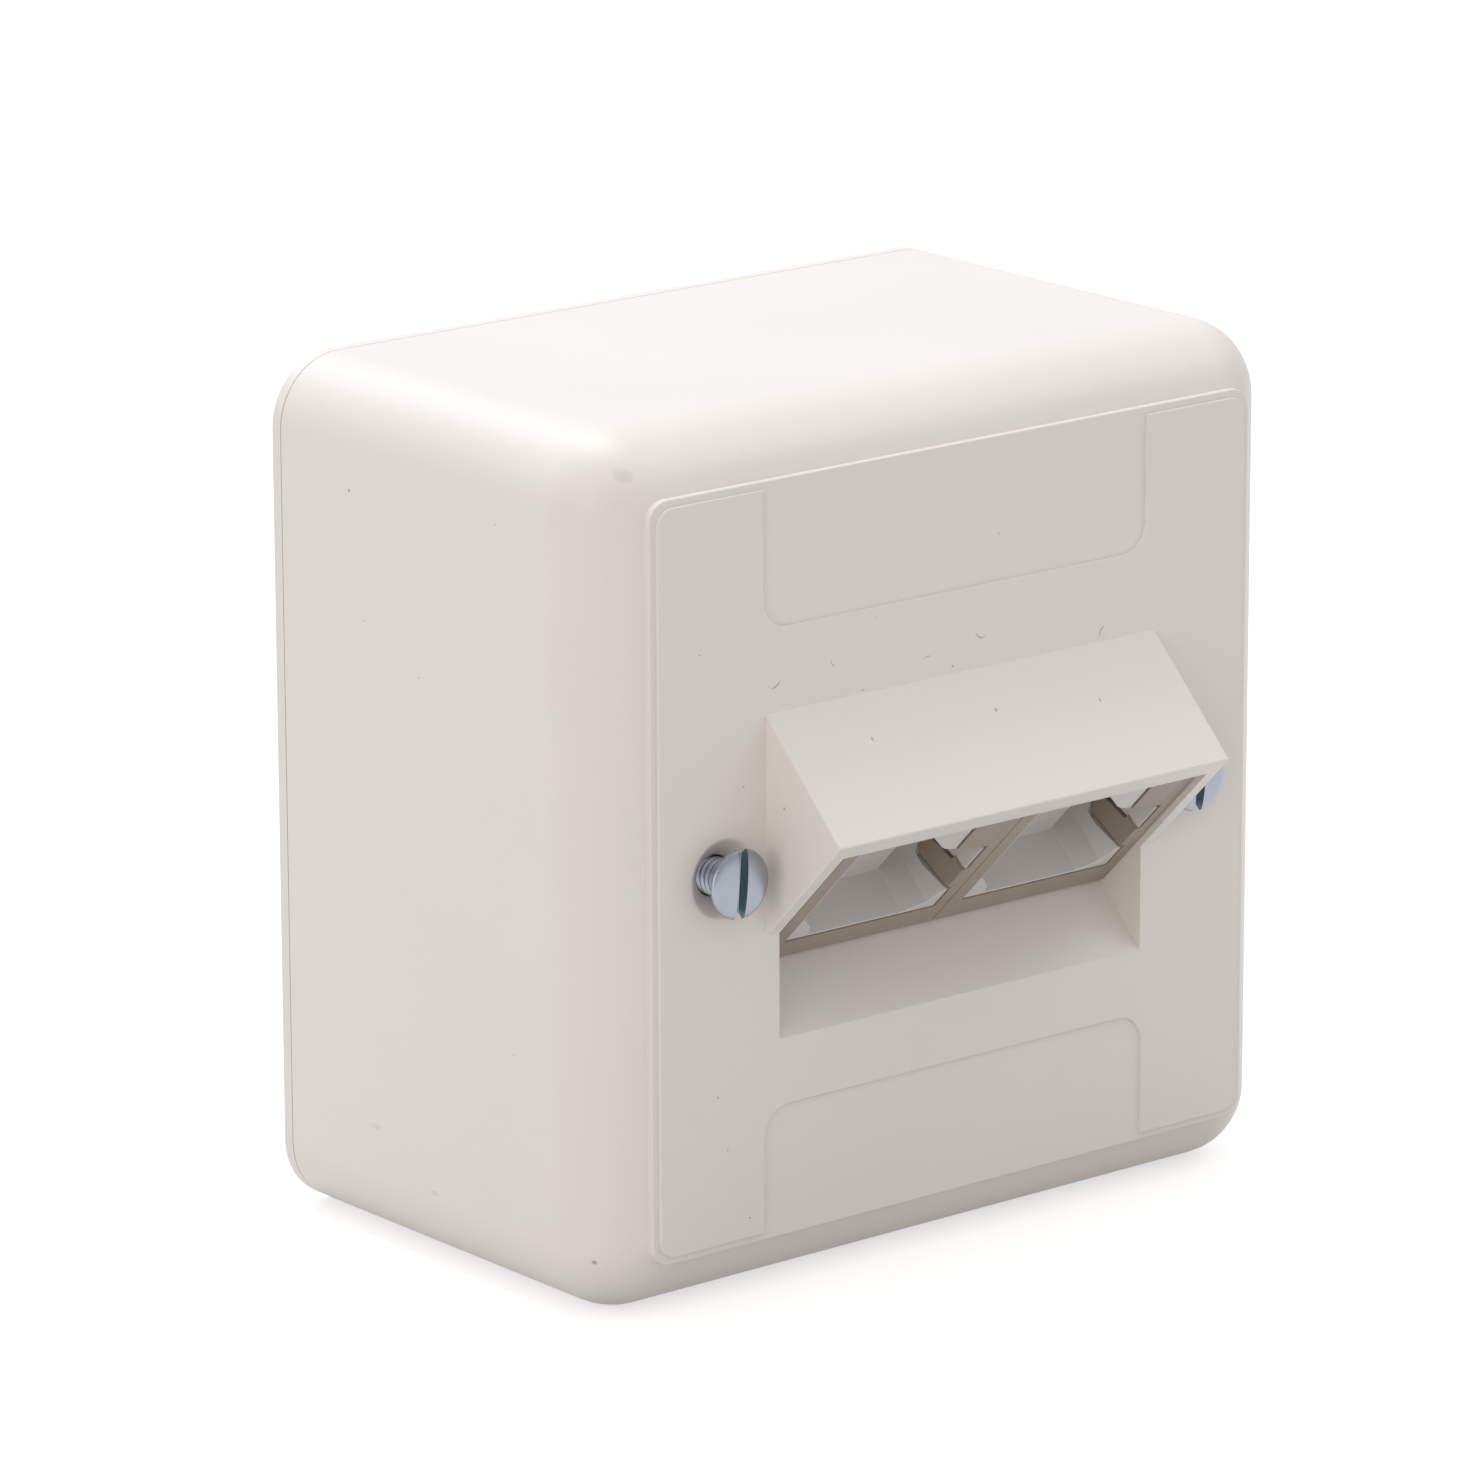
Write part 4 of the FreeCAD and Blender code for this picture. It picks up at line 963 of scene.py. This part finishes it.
class JACKBOX_OT_inside(bpy.types.Operator):
    """Finish the parts inside the box"""

    bl_idname = "jackbox.inside"
    bl_label = "Inside"

    def execute(self, context):
        black = plastic("black_plastic", (0.02, 0.02, 0.022), 0.5, 0.2)
        white = plastic("wire_block_white", (0.72, 0.71, 0.69), 0.45, 0.1)
        board = plastic("solder_mask", (0.008, 0.09, 0.03), 0.3, 0.1)
        rubber = plastic("soft_rubber", (0.018, 0.018, 0.018), 0.75, 0.35, fine=1800.0)
        steel = metal("plated_sheet", (0.62, 0.62, 0.60), 0.38, 0.1)
        cast = metal("nickel_casting", (0.58, 0.57, 0.55), 0.42, 0.25)
        brass = metal("turned_brass", (0.78, 0.56, 0.24), 0.3, 0.1)
        gold = metal("gold_plating", (0.95, 0.68, 0.28), 0.22, 0.02)
        for node, material in (("jack_housing", cast), ("contact_block", black), ("jack_contacts", gold),
                               ("circuit_board", board), ("idc_block", white), ("insert_nut", brass),
                               ("retaining_washer", black)):
            for side in SIDES:
                give(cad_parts[node + "_" + side], material)
        give(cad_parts["module_carrier"], steel)
        give(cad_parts["cable_clamp"], black)
        give(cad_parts["entry_grommet"], rubber)
        return {"FINISHED"}


# ---- stage ----
def seen_rays(tree, *kinds):
    """One for rays of these kinds, nought for all others."""
    path = tree.nodes.new("ShaderNodeLightPath")
    seen = path.outputs[kinds[0]]
    for kind in kinds[1:]:
        seen = math_node(tree, "MAXIMUM", seen, path.outputs[kind])
    return seen


def floor_material(lightness, glow):
    """A pale floor that looks white and keeps the shadow."""
    material = bpy.data.materials.new("pale_floor")
    tree = empty_tree(material)
    seen = seen_rays(tree, "Is Camera Ray", "Is Glossy Ray", "Is Transmission Ray")
    diffuse = add_node(tree, "ShaderNodeBsdfDiffuse", {"Color": (lightness, lightness, lightness, 1)})
    glowing = add_node(tree, "ShaderNodeEmission", {
        "Color": (1, 1, 1, 1), "Strength": math_node(tree, "MULTIPLY", seen, glow)})
    both = add_node(tree, "ShaderNodeAddShader", {0: diffuse.outputs[0], 1: glowing.outputs[0]})
    add_node(tree, "ShaderNodeOutputMaterial", {"Surface": both.outputs[0]})
    return material


def world_light(ambient):
    """Even light from all round; white where the camera sees it."""
    world = bpy.data.worlds.new("studio")
    bpy.context.scene.world = world
    tree = empty_tree(world)
    seen = seen_rays(tree, "Is Camera Ray", "Is Transmission Ray")
    level = math_node(tree, "MULTIPLY_ADD", seen, 1.0 - ambient, ambient)
    back = add_node(tree, "ShaderNodeBackground", {"Color": (1, 1, 1, 1), "Strength": level})
    add_node(tree, "ShaderNodeOutputWorld", {"Surface": back.outputs[0]})


def softbox(name, place, target, size, watts, tint):
    """A square soft light that points at the box."""
    lamp = bpy.data.lights.new(name, "AREA")
    lamp.size = size
    lamp.energy = watts
    lamp.color = tint
    holder = bpy.data.objects.new(name, lamp)
    holder.location = place
    holder.rotation_euler = (Vector(target) - Vector(place)).to_track_quat("-Z", "Y").to_euler()
    bpy.context.scene.collection.objects.link(holder)


class JACKBOX_OT_stage(bpy.types.Operator):
    """Set up the floor, the lights and the camera"""

    bl_idname = "jackbox.stage"
    bl_label = "Stage"

    def execute(self, context):
        scene = context.scene
        settings = scene.jack_box_stage
        low, high = CAD_BOX
        bm = bmesh.new()
        bmesh.ops.create_grid(bm, x_segments=1, y_segments=1, size=6.0)
        bmesh.ops.translate(bm, vec=(0, 0, low[2]), verts=bm.verts)
        floor = solid("floor", bm)
        give(floor, floor_material(settings.floor, settings.floor_glow))
        world_light(settings.ambient)
        middle = (0, (low[1] + high[1]) / 2, 0)
        for name, place, size, tint in LIGHTS:
            softbox("light_" + name, place, middle, size, getattr(settings, name), tint)
        camera = bpy.data.cameras.new("camera")
        camera.lens = settings.lens
        camera.sensor_width = 36.0
        camera.clip_end = 50.0
        holder = bpy.data.objects.new("camera", camera)
        axes = Matrix((CAMERA_RIGHT, CAMERA_UP, CAMERA_RIGHT.cross(CAMERA_UP))).transposed()
        holder.matrix_world = Matrix.Translation(CAMERA_PLACE) @ axes.to_4x4()
        scene.collection.objects.link(holder)
        scene.camera = holder
        scene.view_settings.view_transform = "Standard"
        return {"FINISHED"}


class JACKBOX_PT_panel(bpy.types.Panel):
    """Lists the steps that dress the jack box"""

    bl_idname = "JACKBOX_PT_panel"
    bl_label = "Jack Box"
    bl_space_type = "VIEW_3D"
    bl_region_type = "UI"
    bl_category = "Jack Box"

    def draw(self, context):
        for step in STEPS:
            self.layout.operator(step.bl_idname)
        for group in GROUPS:
            for name in group.__annotations__:
                self.layout.prop(getattr(context.scene, GROUPS[group]), name)


STEPS = (JACKBOX_OT_stage, JACKBOX_OT_cover, JACKBOX_OT_screws, JACKBOX_OT_outlets, JACKBOX_OT_inside)
GROUPS = {
    CoverSizes: "jack_box_cover",
    HoodSizes: "jack_box_hood",
    ScrewSizes: "jack_box_screws",
    OutletSizes: "jack_box_outlets",
    Finishes: "jack_box_finishes",
    StageSettings: "jack_box_stage",
}


def register():
    """Register the classes and hang the settings on the scene."""
    for group, name in GROUPS.items():
        bpy.utils.register_class(group)
        setattr(bpy.types.Scene, name, PointerProperty(type=group))
    for step in STEPS:
        bpy.utils.register_class(step)
    bpy.utils.register_class(JACKBOX_PT_panel)


def unregister():
    """Undo register."""
    bpy.utils.unregister_class(JACKBOX_PT_panel)
    for step in reversed(STEPS):
        bpy.utils.unregister_class(step)
    for group, name in GROUPS.items():
        delattr(bpy.types.Scene, name)
        bpy.utils.unregister_class(group)


def main():
    """Dress the box step by step."""
    register()
    bpy.ops.jackbox.stage()
    bpy.ops.jackbox.cover()
    bpy.ops.jackbox.screws()
    bpy.ops.jackbox.outlets()
    bpy.ops.jackbox.inside()


if __name__ == "__main__":
    main()
